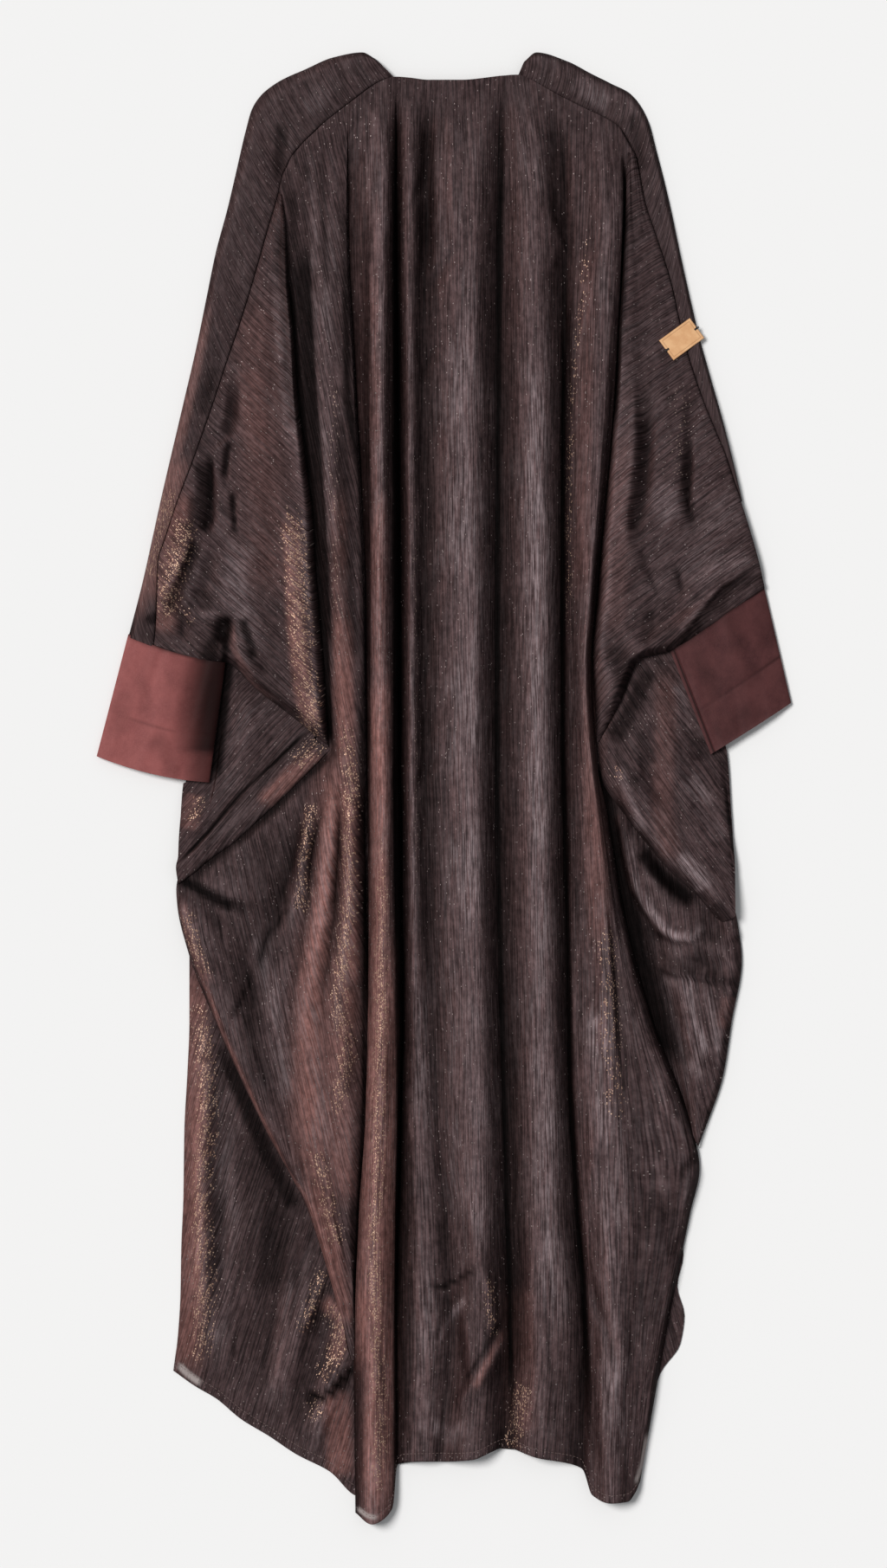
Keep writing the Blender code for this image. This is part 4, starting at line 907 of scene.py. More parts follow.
def closed_shell(name, x, drop, top, bottom, grain, facts, material):
    """An upper and a lower face with a band round their rim."""
    rows, columns = x.shape
    count = rows * columns
    points = np.concatenate([to_world(x, drop, height).reshape(-1, 3) for height in (top, bottom)])
    quads = grid_quads(rows, columns)
    rim = np.concatenate([np.arange(columns), np.arange(1, rows) * columns + columns - 1,
                          (rows - 1) * columns + np.arange(columns - 2, -1, -1),
                          np.arange(rows - 2, 0, -1) * columns])
    after = np.roll(rim, -1)
    band = np.stack([rim, after, count + after, count + rim], 1)
    faces = np.concatenate([quads, count + quads[:, ::-1], band])
    loop = points[rim]
    follow = points[after]
    if (loop[:, 0] * follow[:, 1] - follow[:, 0] * loop[:, 1]).sum() > 0:
        faces = faces[:, ::-1]
    return new_piece(name, points, faces, material, 65, [np.tile(part.ravel(), 2) for part in grain],
                     {key: np.tile(values.ravel(), 2) for key, values in facts.items()})


grids = {}


def cloth_shell(node, wall, material, edges, across, along, seed, roll=1.0,
                calm=(), yoke=0.0, depth=DEPTH):
    """Builds a node's shell from its wall: its sections, with the tops and undersides of its folds.

    calm has rows of the drops between which the folds grow smoother, by how much, and over how
    many columns. yoke is the length over which the folds rise from the shoulder.
    """
    x, drop, top, under = fine_grid(*wall, across, along, edges.foot == "hem")
    for height, reach, *line in CREASES.get(node, ()):
        top = top + height * nearness(x, drop, line, reach, 3)
    slack = np.clip((top - under - WALL) / 3, 0, 1)
    rolling = roll * unevenness(x, drop, ROLLING, seed)
    top = top + slack * rolling + slack * unevenness(x, drop, CRINKLE, seed)
    if yoke:
        top = mix(YOKE_TOP, top, smoothstep(running_length(x, drop, 0) / yoke))
    for start, end, amount, half in calm:
        share = amount * smoothstep((drop - start) / (end - start))
        top = mix(top, box_blur(box_blur(top, half), half), share)
    top = top + (depth - 1) * np.clip(top - under - WALL, 0, None)
    top = np.where(top > CROWN, CROWN + CROWN_SPAN * np.tanh((top - CROWN) / CROWN_SPAN), top)
    top = np.maximum(top, under + CLOTH_THICKNESS)
    swell = top - box_blur(top, max(2, round(9 / across)))
    wide = top - box_blur(top, round(20 / across))
    facts = {kind: np.zeros_like(x) for kind in ("glint", "warm", "silver", "dark", "sheer")}
    # Slopes for painted light: what faces the window is painted rosy and steep flanks painted dark.
    facts["lean"], facts["steep"] = slopes(x, drop, top)
    top, facts["hem"] = finish_edges(top, under, x, drop, edges)
    for kind, rows in TONES.get(node, {}).items():
        for amount, reach, *line in rows:
            power = 2 if kind == "glint" or sum(both_sides(reach)) > 32 else 4
            near = amount * nearness(x, drop, line, reach, 7, power)
            facts[kind] = np.maximum(facts[kind], near)
    # Painted light and shade: ridges lit and grooves shaded, lit more under the painted sheen and rosy light;
    # hollows get painted shade and crests a painted sheen.
    ridge = np.clip(0.5 + wide / 13, 0, 1) + 0.22 * facts["silver"] + 0.2 * facts["warm"]
    facts["ridge"] = np.clip(ridge, 0, 1)
    facts["dark"] = np.maximum(facts["dark"], 0.8 * smoothstep(-swell / 5 - 0.1))
    facts["silver"] = np.maximum(facts["silver"], 0.3 * np.clip(swell / 3, 0, 1))
    grids[node] = (x, drop, top)
    item = closed_shell(node + "_cloth", x, drop, top, lower_face(x, drop, top, under),
                        grain_map(node, x, drop, top), facts, material)
    stand_for(node)


def panel_wall(drops, folds, top_line, hem_line, rise):
    """The wall of a panel whose sections run straight across.

    rise is the share of their height that the folds have at each section.
    """
    lines = [[(fold.x[i], drop) for fold in folds] for i, drop in enumerate(drops)]
    lines = [line for line in (top_line, *lines, hem_line) if line]
    tops = []
    for fold in folds:
        heights = [at_level(fold.top, i) for i in range(len(lines))]
        tops.append(tuple(mix(TUCKED, h, r) if h > TUCKED else h for h, r in zip(heights, rise)))
    return lines, tops, [fold.under for fold in folds]


def front_wall(drops, first_edge, last_edge, shares, top_line, hem_line):
    lines = [[(mix(a, b, share), drop) for share in shares]
             for drop, a, b in zip(drops, first_edge, last_edge)]
    return (top_line, *lines, hem_line), (WALL,) * len(shares), (ON_FLOOR,) * len(shares)


def strip_wall(rows):
    lines = []
    for seam_x, seam_drop, edge_x, edge_drop in rows:
        edge = (edge_x, edge_drop)
        seam = shifted((seam_x, seam_drop), edge, SEAM_GAP / 2)
        lines.append([between(seam, edge, share) for share in (0.0, 0.35, 0.78, 1.0)])
    if lines[-1][0][1] > 500:
        lines[-1] = [(x - TURN_SLANT * SEAM_TURN, drop + SEAM_TURN) for x, drop in lines[-1]]
    return lines, (YOKE_TOP, YOKE_TOP + 0.9, YOKE_TOP + 0.6, 3.4), (ON_FRONT,) * 3 + (ON_FLOOR,)


def sleeve_wall(rows, foot, turn):
    """The wall of a sleeve between its rows' two edges, down to its foot in the cuff."""
    lines = []
    for seam_x, seam_drop, inner_x, inner_drop in rows:
        inner = (inner_x, inner_drop)
        seam = shifted((seam_x, seam_drop), inner, SEAM_GAP / 2)
        lines.append([between(seam, inner, profile[0]) for profile in SLEEVE_PROFILE])
    lines.append([between(p, q, 0.7) for p, q in zip(lines[-1], foot)])
    slant = math.copysign(TURN_SLANT, foot[0][0]) * SEAM_TURN
    lines.append([(x + slant * share, drop + SEAM_TURN * share) for (x, drop), share in zip(foot, turn)])
    count = len(lines)
    tops = []
    unders = []
    for share, open_top, foot_top, foot_under in SLEEVE_PROFILE:
        fold_top = open_top + (3.5 if foot_under > ON_FRONT else -1.5)
        low = 6.2 if share < 1 else open_top
        rise = [mix(low, open_top, mix(0.55, 1.0, min(1.0, 3 * i / count))) for i in range(count - 2)]
        tops.append((*rise, fold_top, foot_top))
        under = ON_TWO if share == 1 else ON_FRONT
        last_under = max(under, min(foot_under, ON_TWO))
        unders.append((under,) * (count - 3) + (last_under, foot_under, foot_under))
    return lines, tops, unders


def surface_trees(names):
    """Trees of the cloth's upper faces, to set small pieces on."""
    trees = []
    for name in names:
        points = to_world(*grids[name])
        quads = grid_quads(*points.shape[:2])
        trees.append(BVHTree.FromPolygons(points.reshape(-1, 3).tolist(), quads.tolist()))
    return trees


def height_on(trees, x, drop):
    """Height of the uppermost cloth at a place, in millimetres."""
    start = Vector((x * MM, (LENGTH / 2 - drop) * MM, ABOVE_ALL * MM))
    hits = [tree.ray_cast(start, Vector((0, 0, -1)))[0] for tree in trees]
    return max([hit.z / MM for hit in hits if hit] or [ON_FLOOR])


def connect(tree, value, socket):
    """Links another node's value to a socket, or sets it to a number or colour."""
    if isinstance(value, Value):
        tree.links.new(value.socket, socket)
    elif socket.type == "RGBA":
        socket.default_value = (*value, 1)
    else:
        socket.default_value = value


class Value:
    """One output of a new shader node. Sums and products of such values are Math nodes."""

    def __init__(self, tree, kind, inputs=None, output=0, **settings):
        self.tree = tree
        self.node = tree.nodes.new("ShaderNode" + kind)
        self.socket = self.node.outputs[output]
        for name, setting in settings.items():
            setattr(self.node, name, setting)
        for name, value in (inputs or {}).items():
            connect(tree, value, self.node.inputs[name])

    def math(self, operation, first, second):
        return Value(self.tree, "Math", {0: first, 1: second}, operation=operation)

    def __add__(self, other):
        return self.math("ADD", self, other)

    def __sub__(self, other):
        return self.math("SUBTRACT", self, other)

    def __rsub__(self, other):
        return self.math("SUBTRACT", other, self)

    def __mul__(self, other):
        return self.math("MULTIPLY", self, other)

    def above(self, bound):
        return self.math("GREATER_THAN", self, bound)

    def clamped(self):
        self.node.use_clamp = True
        return self

    def fade(self, low, high):
        """0 below low and 1 above high, smooth between."""
        return Value(self.tree, "MapRange", {0: self, 1: low, 2: high, 3: 0.0, 4: 1.0},
                     interpolation_type="SMOOTHSTEP")

    def blend(self, first, second):
        """The first colour where this value is 0 and the second where it is 1."""
        return Value(self.tree, "Mix", {0: self, 6: first, 7: second}, output=2, data_type="RGBA")

    def tinted(self, shade):
        return Value(self.tree, "Mix", {0: 1.0, 6: self, 7: shade}, output=2, data_type="RGBA",
                     blend_type="MULTIPLY")


def read(tree, name):
    return Value(tree, "Attribute", output="Fac", attribute_name=name)


def bump(tree, strength, distance, relief):
    return Value(tree, "Bump", {"Strength": strength, "Distance": distance, "Height": relief})


def new_material(name, **settings):
    """A material whose Principled shader has these values, and its node tree."""
    material = bpy.data.materials.new(name)
    material.use_nodes = True
    tree = material.node_tree
    set_surface(tree, **settings)
    return material, tree


def set_surface(tree, **settings):
    """Sets the Principled shader's inputs, named with underscores for their spaces."""
    shader = tree.nodes["Principled BSDF"]
    for name, value in settings.items():
        connect(tree, value, shader.inputs[name.replace("_", " ")])


def thread_space(tree, sway):
    """The grain map in millimetres, with the threads swaying a little from side to side."""
    uv = Value(tree, "UVMap", uv_map="grain")
    mm = Value(tree, "VectorMath", {0: uv, 1: (1000, 1000, 1000)}, operation="MULTIPLY")
    coarse = Value(tree, "VectorMath", {0: mm, 1: (1 / 26, 1 / 70, 1)}, operation="MULTIPLY")
    noise = Value(tree, "TexNoise", {"Vector": coarse, "Scale": 1.0, "Detail": 2.0})
    shift = Value(tree, "CombineXYZ", {0: (noise - 0.5) * sway})
    return Value(tree, "VectorMath", {0: mm, 1: shift}, operation="ADD")


def grain_noise(space, across, along, detail, offset):
    """Noise drawn out along the threads, in patches of the given size in millimetres."""
    scaled = Value(space.tree, "VectorMath",
                   {0: space, 1: (1 / across, 1 / along, 1), 2: (offset, offset, offset)},
                   operation="MULTIPLY_ADD")
    return Value(space.tree, "TexNoise",
                 {"Vector": scaled, "Scale": 1.0, "Detail": detail, "Roughness": 0.6})


def scaled_colour(colour, share):
    return tuple(share * part for part in colour)


def crinkled_cloth(name, deep, pale, thread, rosy):
    """Crinkled cloth with a metal thread: uneven ribs along the grain, fine threads and flashes.

    Its crinkle turns light back to where it comes from, so what leans to the window is rosy and
    Light and shade are painted into its colour: what leans to the window is painted rosy and
    light, what leans away is painted dark, ridges are painted lit and hollows painted shaded.
    """
    material, tree = new_material(name, Specular_IOR_Level=0.02, Sheen_Weight=0.01,
                                  Sheen_Roughness=0.45, Sheen_Tint=(0.85, 0.66, 0.64))
    space = thread_space(tree, 0.8)
    ribs = grain_noise(space, 1.25, 55, 1.5, 3.1)
    threads = grain_noise(space, 0.9, 30, 1.0, 7.7)
    crumple = grain_noise(space, 4.5, 10, 3.0, 23.0)
    breaks = grain_noise(space, 1.7, 4, 1.0, 17.0)
    patches = grain_noise(space, 34, 95, 2.0, 11.3)
    silver = read(tree, "silver")
    warm = read(tree, "warm")
    dark = read(tree, "dark")
    glint = read(tree, "glint")

    rib_share = (ribs.fade(0.36, 0.64) + (breaks - 0.5) * 0.9).clamped()
    # Painted light: flanks that face the window and the painted rosy light take the rosy colour, and a
    # painted sheen lights the fine threads.
    facing = read(tree, "lean").fade(0.10, 0.62)
    rosy_share = (warm * (0.8 - glint * 0.35) + facing * 0.16).clamped()
    rosy_ribs = rib_share.blend(scaled_colour(rosy, 0.66), scaled_colour(rosy, 1.24))
    body = rosy_share.blend(rib_share.blend(deep, pale), rosy_ribs)
    lit_thread = threads.fade(0.38, 0.68) * (silver * 0.5 + 0.18)
    lit_thread = (lit_thread * (patches.fade(0.35, 0.65) + 0.4)).clamped()
    body = lit_thread.blend(body, thread)

    # Painted light and shade, after a random mottling by the crumple: ridges are painted lit, more so under
    # the painted sheen, and grooves, steep flanks and the painted shade are darkened.
    lit = silver.blend((1.42, 1.40, 1.40), (1.95, 2.0, 2.02))
    steep = read(tree, "steep").fade(0.03, 0.3) * (1.0 - warm * 0.85) * (1.0 - silver * 0.6)
    body = body.tinted(crumple.fade(0.32, 0.68).blend((0.76, 0.75, 0.75), (1.26, 1.26, 1.26)))
    body = body.tinted(read(tree, "ridge").blend((0.22, 0.205, 0.205), lit))
    body = body.tinted(steep.blend(WHITE, (0.45, 0.42, 0.42)))
    body = body.tinted((dark * 0.96).blend(WHITE, (0.05, 0.048, 0.048)))
    body = (read(tree, "sheer") * threads.fade(0.1, 0.5)).blend(body, (0.36, 0.31, 0.30))

    # Painted glints: flashes of the metal thread, a few everywhere and thick where glints are painted and
    # along the hem, copper there and dull elsewhere, none in painted shade.
    cell = Value(tree, "VectorMath", {0: space, 1: (1 / 0.7, 1 / 1.2, 0)}, operation="MULTIPLY")
    cell = Value(tree, "VectorMath", {0: cell}, operation="FLOOR")
    chance = Value(tree, "TexWhiteNoise", {"Vector": cell}, noise_dimensions="2D")
    hue = Value(tree, "TexWhiteNoise", {"Vector": cell}, output="Color", noise_dimensions="2D")
    density = (glint * 0.28 + 0.008 + read(tree, "hem") * 0.02) * (rib_share + 0.2)
    flash = chance.above(1.0 - density) * (1.0 - dark)
    tint = Value(tree, "SeparateColor", {0: hue}, output=1).blend((0.30, 0.16, 0.11), (0.62, 0.43, 0.31))
    tint = glint.fade(0.02, 0.3).blend((0.20, 0.16, 0.155), tint)
    relief = ribs + threads * 0.45 + crumple * 1.5
    set_surface(tree, Base_Color=flash.blend(body, tint), Metallic=flash * 0.25,
                Roughness=0.62 - flash * 0.25, Normal=bump(tree, 0.6, 0.0007, relief))
    return material


def plain_satin(name, deep, pale, fine):
    """Smooth maroon cloth of the cuffs: a fine even weave with faint clouds, a soft lustre and painted shade.
    """
    material, tree = new_material(name, Roughness=0.52, Specular_IOR_Level=0.08, Sheen_Weight=0.03,
                                  Sheen_Roughness=0.4, Sheen_Tint=(0.9, 0.5, 0.48))
    space = thread_space(tree, 0.6)
    weft = grain_noise(space, 0.55, 5.0, 1.0, 2.0)
    warp = grain_noise(space, 5.0, 0.6, 1.0, 5.0)
    clouds = grain_noise(space, 26, 34, 3.0, 9.0)
    weave = weft * 0.5 + warp * 0.5
    body = clouds.fade(0.3, 0.7).blend(deep, pale)
    body = (weave.fade(0.42, 0.62) * 0.3).blend(body, fine)
    body = body.tinted(read(tree, "dark").blend(WHITE, (0.04, 0.03, 0.03)))
    set_surface(tree, Base_Color=body, Normal=bump(tree, 0.5, 0.00025, weave))
    return material


def tan_leather(name):
    material, tree = new_material(name, Roughness=0.5)
    at = Value(tree, "TexCoord", output="Object")
    pores = Value(tree, "TexVoronoi", {"Vector": at, "Scale": 1900.0}, feature="F1")
    clouds = Value(tree, "TexNoise", {"Vector": at, "Scale": 95.0, "Detail": 4.0})
    body = clouds.fade(0.35, 0.7).blend((0.74, 0.40, 0.19), (0.86, 0.51, 0.26))
    body = (read(tree, "edge") * 0.75).blend(body, (0.36, 0.17, 0.075))
    set_surface(tree, Base_Color=body, Normal=bump(tree, 0.35, 0.0002, pores))
    return material


def thread_material(name, colour):
    material, tree = new_material(name, Roughness=0.6)
    at = Value(tree, "TexCoord", output="Object")
    twist = Value(tree, "TexNoise", {"Vector": at, "Scale": 2200.0})
    set_surface(tree, Base_Color=twist.fade(0.35, 0.65).blend(scaled_colour(colour, 0.55), colour))
    return material


def tube_faces(stations, size):
    """Faces of an outer and an inner skin of rings, joined at both mouths."""
    k = np.arange(size)
    after = np.roll(k, -1)
    start = np.arange(stations - 1)[:, None] * size
    outer = np.stack([start + k, start + k + size, start + after + size, start + after], -1).reshape(-1, 4)
    inner = stations * size
    mouth = np.stack([k, after, after + inner, k + inner], 1)
    far_mouth = mouth + (stations - 1) * size
    return np.concatenate([outer, (outer + inner)[:, ::-1], mouth, far_mouth[:, ::-1]])


def cuff_shell(node, cuff, material, seed):
    """A flattened tube whose mouth shows two layers, with the stitched line of its hem and painted shade."""
    stations = 46
    columns = 60
    half = CUFF_WALL + CUFF_SLIT / 2
    folded = ((cuff.sleeve_left, cuff.wrist_left), (cuff.sleeve_right, cuff.wrist_right))
    length = sum(math.dist(*ends) for ends in folded) / 2
    down = np.linspace(0, 1, stations)
    share = np.arange(columns + 1) / columns
    left = np.array([between(cuff.sleeve_left, cuff.wrist_left, v) for v in down])
    span = np.array([between(cuff.sleeve_right, cuff.wrist_right, v) for v in down]) - left
    width = np.linalg.norm(span, axis=1)[:, None]
    v, u = np.meshgrid(down, 0.5 - 0.5 * np.cos(np.pi * share), indexing="ij")

    def skin(u, top, low):
        x = left[:, :1] + span[:, :1] * u
        drop = left[:, 1:] + span[:, 1:] * u + 4 * cuff.bow * u * (1 - u)
        rings = np.concatenate([to_world(x, drop, top), to_world(x, drop, low)[:, ::-1]], axis=1)
        return x, drop, rings.reshape(-1, 3)

    middle = half + ON_TWO * smoothstep((u - cuff.flat_at) / (cuff.raised_at - cuff.flat_at))
    spread = np.maximum(0.18, 1 - np.abs(2 * share - 1) ** 5)[None]
    from_wrist = (1 - v) * length
    across = u * 110
    soft = 0.35 * wander(across, v * 125, 30, 70, seed)
    soft = soft + 0.4 * wander(across + v * 14, v * 125, 8, 60, seed + 7)
    soft = soft * smoothstep(u * width / 14) * smoothstep((1 - u) * width / 14)
    hem_line = -0.5 * mix(0.2, 1, u) * bell(from_wrist - CUFF_HEM, 1.4)
    lip = 0.5 * smoothstep((3.0 - from_wrist) / 2)
    layer = -2.2 * (1 - smoothstep((u * width - cuff.ledge) / 1.2)) if cuff.ledge else 0
    upper = middle + half * spread + (soft + hem_line + lip + layer) * spread
    upper = np.minimum(upper, middle + half + 1.6)
    lower = middle - half * spread
    x, drop, outer = skin(u, upper, lower)
    inset = (u - 0.5) * (1 - 5.0 / width) + 0.5
    inner = skin(inset, np.maximum(upper - CUFF_WALL, middle + 0.15),
                 np.minimum(lower + CUFF_WALL, middle - 0.15))[2]

    # Painted shade: the stitched line's groove, darker to the right, a painted shadow under the sleeve's end
    # and along the lower layer's ledge, and the cuff's painted shade from its tones.
    dark = bell(from_wrist - CUFF_HEM, 1.6) * mix(0.12, 0.55, u) + 0.8 * bell(v * length, 6 ** 0.5)
    if cuff.ledge:
        dark = np.maximum(dark, 0.9 * bell(u * width - cuff.ledge + 0.8, 1.0))
    for amount, reach, *line in TONES[node]["dark"]:
        dark = np.maximum(dark, amount * nearness(x, drop, line, reach, 5, 3))
    dark = np.concatenate([dark, np.zeros_like(dark)], axis=1)
    around = np.concatenate([u * width, (u * width)[:, ::-1]], axis=1)
    along = np.concatenate([v, v], axis=1) * length
    item = new_piece(node + "_satin", np.concatenate([outer, inner]),
                     tube_faces(stations, 2 * (columns + 1)), material, 45,
                     [np.tile(around.ravel(), 2), np.tile(along.ravel(), 2)],
                     {"dark": np.tile(dark.ravel(), 2)})
    stand_for(node)


def add_thread(points, faces, stations, sides):
    """Adds one round thread. A station is its x, drop and height, its direction and its radius."""
    base = len(points)
    for x, drop, height, ahead, radius in stations:
        size = max(math.hypot(*ahead), 1e-6)
        for j in range(sides):
            turn = 2 * math.pi * j / sides
            side = radius * math.cos(turn) / size
            points.append(to_world(x - ahead[1] * side, drop + ahead[0] * side,
                                   height + radius * math.sin(turn)))
    for start in range(base, len(points) - sides, sides):
        for j in range(sides):
            a = start + j
            b = start + (j + 1) % sides
            faces.append((a, a + sides, b + sides, b))
    faces.append(tuple(range(base, base + sides)))
    faces.append(tuple(range(len(points) - sides, len(points)))[::-1])


def stitch_line(name, node, first, last, material, stitch=2.6, gap=1.1, thick=0.32, sink=0.06):
    """A row of thread stitches laid along a shell's hem, over a share of its columns."""
    trees = surface_trees((node,))
    x, drop, top = grids[node]
    away = running_length(x, drop, 0)
    away = (away[-1] - away)[::-1]
    path = []
    for j in range(round(first * (x.shape[1] - 1)), round(last * (x.shape[1] - 1)) + 1, 3):
        path.append([np.interp(HEM, away[:, j], part[::-1, j]) for part in (x, drop)])
    path = np.array(path)
    run = np.concatenate([[0], np.cumsum(np.linalg.norm(np.diff(path, axis=0), axis=1))])

    def at(distance):
        return np.array([np.interp(distance, run, path[:, 0]), np.interp(distance, run, path[:, 1])])

    points = []
    faces = []
    for start in np.arange(0, run[-1] - stitch, stitch + gap):
        stations = []
        for k in range(5):
            middle = start + stitch * k / 4
            place = at(middle)
            arch = 1 - (k / 2 - 1) ** 2
            ahead = at(min(middle + 0.5, run[-1])) - at(max(middle - 0.5, 0))
            height = height_on(trees, *place) - sink + 0.16 * arch
            stations.append((*place, height, ahead, thick * math.sqrt(max(0.1, arch))))
        add_thread(points, faces, stations, 6)
    new_piece(name, points, faces, material)


def on_label(u, v):
    """Place of a point of the label, u along it and v across it from its centre."""
    tilt = math.radians(LABEL_TILT)
    return (LABEL_CENTRE[0] + u * math.cos(tilt) + v * math.sin(tilt),
            LABEL_CENTRE[1] - u * math.sin(tilt) + v * math.cos(tilt))


def bed_terms(u, v):
    return np.stack([np.ones_like(u), u, v, u * u], -1)


def leather_label(trees, material):
    """A thin plate with a pressed border, bent to the cloth under it and notched at its ends.

    Gives the function for the height that it lies at.
    """
    half_length = LABEL_LENGTH / 2
    u, v = np.meshgrid(np.linspace(-half_length, half_length, 78),
                       np.linspace(-LABEL_WIDTH / 2, LABEL_WIDTH / 2, 50))
    notch = 1.8 * np.exp(-(v / 1.3) ** 4)
    u = u * mix(1.0, 1 - notch / half_length, np.clip((np.abs(u) / half_length - 0.8) / 0.2, 0, 1))
    x, drop = on_label(u, v)
    few = (slice(None, None, 7), slice(None, None, 11))
    rest = np.array([height_on(trees, *place) for place in zip(x[few].ravel(), drop[few].ravel())])
    terms = bed_terms(u[few].ravel(), v[few].ravel())
    keep = rest > rest.max() - 6
    fit = np.linalg.lstsq(terms[keep], rest[keep], rcond=None)[0]
    lift = max(0.0, float((rest[keep] - terms[keep] @ fit).max()))

    def bed(u, v):
        return bed_terms(u, v) @ fit + lift

    inward = np.minimum(half_length - np.abs(u), LABEL_WIDTH / 2 - np.abs(v))
    border = bell(inward - 2.6, 0.35)
    bottom = bed(u, v) + 0.1
    top = bottom + 0.75 + 0.45 * rounded(inward, 0.8) - 0.22 * border
    edge = np.maximum(0.8 * border, smoothstep((0.7 - inward) / 0.6))
    item = closed_shell("label_plate", x, drop, top, bottom, (u, v), {"edge": edge}, material)
    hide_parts("label")
    return bed


def label_stitches(bed, material):
    """Two short dark threads over each end of the label."""
    for name, side in (("label_stitch_left", -1), ("label_stitch_right", 1)):
        ahead = np.subtract(on_label(side, 0), on_label(0, 0))
        points = []
        faces = []
        for strand in (-0.5, 0.5):
            stations = []
            for k in range(9):
                u = side * (LABEL_LENGTH / 2 - 3.4 + 0.7 * k)
                arch = 1.45 * math.sin(math.pi * (0.25 + 0.75 * k / 8)) ** 0.8 if k < 8 else -0.4
                stations.append((*on_label(u, strand), bed(u, strand) + arch, ahead, 0.45))
            add_thread(points, faces, stations, 8)
        new_piece(name, points, faces, material)


# The colours are deep and pale cloth, a thread that the painted sheen lights, and the rosy colour of the
# painted light on flanks that face the window.
plum = crinkled_cloth("crinkled plum cloth", (0.0275, 0.0182, 0.0188), (0.079, 0.0500, 0.0510),
                      (0.180, 0.140, 0.145), (0.190, 0.087, 0.076))
plum_across = crinkled_cloth("plum cloth cut across", (0.029, 0.0192, 0.0198), (0.074, 0.0480, 0.049),
                             (0.155, 0.124, 0.128), (0.165, 0.084, 0.076))
# One maroon satin in two copies: a lit one for the left cuff and a shaded one for the right, painted light
# and shade.
lit_satin = plain_satin("maroon satin", (0.216, 0.064, 0.062), (0.295, 0.090, 0.086),
                         (0.35, 0.121, 0.114))
shaded_satin = plain_satin("shaded maroon satin", (0.055, 0.0195, 0.0205), (0.088, 0.031, 0.0315),
                          (0.115, 0.042, 0.041))

cloth_shell("front_left", front_wall(FRONT_LEFT_DROPS, FRONT_LEFT_OUTER, FRONT_LEFT_OPENING,
                                     FRONT_LEFT_SHARES, FRONT_LEFT_TOP, FRONT_LEFT_HEM),
            plum, Edges(foot="hem", first=2.5),
            across=3.6, along=5.0, seed=11, roll=1.6)
cloth_shell("front_right", front_wall(FRONT_RIGHT_DROPS, FRONT_RIGHT_OPENING, FRONT_RIGHT_OUTER,
                                      FRONT_RIGHT_SHARES, FRONT_RIGHT_TOP, FRONT_RIGHT_HEM),
            plum, Edges(foot="hem", last=2.5),
            across=7.0, along=8.0, seed=12)
cloth_shell("back_centre", panel_wall(BACK_DROPS, BACK_FOLDS, BACK_TOP, BACK_HEM, RISE_BACK),
            plum, Edges("sewn", "hem", (5.0, 112), 5.0),
            across=1.9, along=5.0, seed=13, yoke=60)
cloth_shell("back_drape_left", panel_wall(DRAPE_LEFT_DROPS, DRAPE_LEFT_FOLDS, DRAPE_LEFT_TOP, None,
                                          RISE_DRAPE_LEFT),
            plum, Edges(top="sewn", first=4.5),
            across=2.4, along=4.0, seed=14, calm=((760, 1050, 0.8, 3), (800, 700, 1.0, 6)), yoke=60)
cloth_shell("back_drape_right", panel_wall(DRAPE_RIGHT_DROPS, DRAPE_RIGHT_FOLDS, None,
                                           DRAPE_RIGHT_FOOT, (1,) * (len(DRAPE_RIGHT_DROPS) + 1)),
            plum, Edges(last=4.0),
            across=1.9, along=2.8, seed=15, roll=0.7)
cloth_shell("underarm_left", (UNDERARM_LEFT, UNDERARM_LEFT_TOPS, UNDERARM_LEFT_UNDERS),
            plum, Edges(last=4.5),
            across=1.7, along=2.2, seed=16, depth=1.0, roll=0.5)
cloth_shell("underarm_right", (UNDERARM_RIGHT, UNDERARM_RIGHT_TOPS, UNDERARM_RIGHT_UNDERS),
            plum, Edges(last=4.5),
            across=1.9, along=2.3, seed=17, roll=0.6)

rows = [(*seam[:2], *inner) for seam, inner in zip(STRIP_LEFT[SLEEVE_LEFT_FIRST:], SLEEVE_LEFT_INNER)]
cloth_shell("sleeve_left", sleeve_wall(rows, SLEEVE_LEFT_FOOT, SLEEVE_LEFT_TURN),
            plum, Edges(foot=3.5, first="sewn", last=5.0),
            across=2.0, along=2.6, seed=18, roll=0.7)
rows = [(*seam[:2], *inner) for seam, inner in zip(STRIP_RIGHT[SLEEVE_RIGHT_FIRST:], SLEEVE_RIGHT_INNER)]
rows += SLEEVE_RIGHT_BELOW_STRIP
cloth_shell("sleeve_right", sleeve_wall(rows, SLEEVE_RIGHT_FOOT, SLEEVE_RIGHT_TURN),
            plum, Edges(foot=3.5, first="sewn", last=5.0),
            across=2.0, along=2.6, seed=19, roll=0.5)
for side, strip, flat, area, seed in (("left", STRIP_LEFT, (0.05, 0.66), 0.027, 20),
                                      ("right", STRIP_RIGHT, (0.035, 0.52), 0.0135, 21)):
    cloth_shell("shoulder_strip_" + side, strip_wall(strip), plum_across,
                Edges(first="sewn", last=4.0),
                across=2.0, along=2.6, seed=seed, roll=0.5, depth=1.0)
cuff_shell("cuff_left", CUFF_LEFT, lit_satin, 31)
cuff_shell("cuff_right", CUFF_RIGHT, shaded_satin, 32)

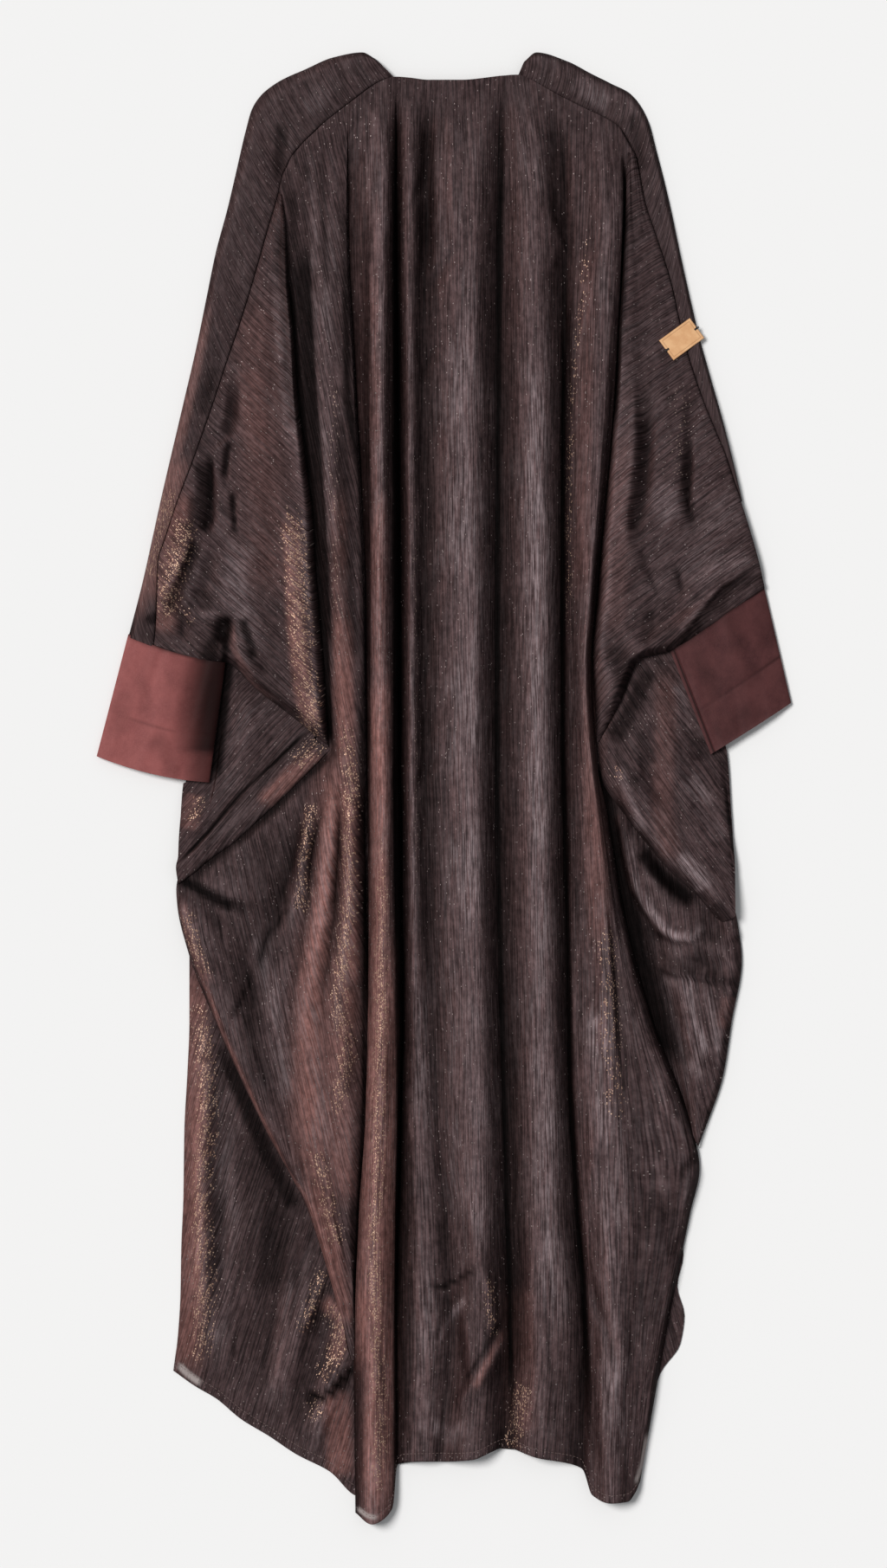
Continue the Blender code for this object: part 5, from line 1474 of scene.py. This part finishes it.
label_bed = leather_label(surface_trees(("sleeve_right", "shoulder_strip_right")),
                          tan_leather("tan leather"))
label_stitches(label_bed, thread_material("dark thread", (0.03, 0.022, 0.022)))
hem_thread = thread_material("hem thread", (0.20, 0.135, 0.125))
stitch_line("hem_stitch_left", "front_left", 0.0, 0.9, hem_thread)
stitch_line("hem_stitch_centre", "back_centre", 0.02, 0.98, hem_thread)

FLOOR_REACH = 12.0
FLOOR_GAP = 0.0004        # keeps the floor clear of the undersides
floor = bpy.data.objects.new("floor", bpy.data.meshes.new("floor"))
corners = [(x * FLOOR_REACH, y * FLOOR_REACH, 0) for x, y in ((-1, -1), (1, -1), (1, 1), (-1, 1))]
floor.data.from_pydata(corners, [], [(0, 1, 2, 3)])
floor.data.materials.append(new_material("pale floor", Base_Color=(0.9, 0.9, 0.9), Roughness=0.9,
                                         Specular_IOR_Level=0.0)[0])
floor.location.z = -FLOOR_GAP
bpy.context.scene.collection.objects.link(floor)

sun = bpy.data.objects.new("window", bpy.data.lights.new("window", "SUN"))
sun.data.energy = 2.61
sun.data.color = (1.0, 0.985, 0.97)
sun.data.angle = math.radians(25)
sun.rotation_euler = Vector(WINDOW).to_track_quat("Z", "Y").to_euler()
bpy.context.scene.collection.objects.link(sun)
world = bpy.data.worlds.new("studio")
world.use_nodes = True
world.node_tree.nodes["Background"].inputs[0].default_value = (0.98, 1.0, 1.02, 1)
world.node_tree.nodes["Background"].inputs[1].default_value = 0.30
bpy.context.scene.world = world
bpy.context.scene.view_settings.view_transform = "Standard"

PHOTO_PIXELS = 1811
PIXEL = 0.86 * MM         # at the height of the open cloth
OPEN_CLOTH = 0.008
PHOTO_CENTRE = (-0.0004, 0.0039)
camera = bpy.data.objects.new("camera", bpy.data.cameras.new("camera"))
camera.data.lens = 135
distance = PHOTO_PIXELS * PIXEL * camera.data.lens / camera.data.sensor_width
camera.location = (*PHOTO_CENTRE, distance + OPEN_CLOTH)
bpy.context.scene.collection.objects.link(camera)
bpy.context.scene.camera = camera
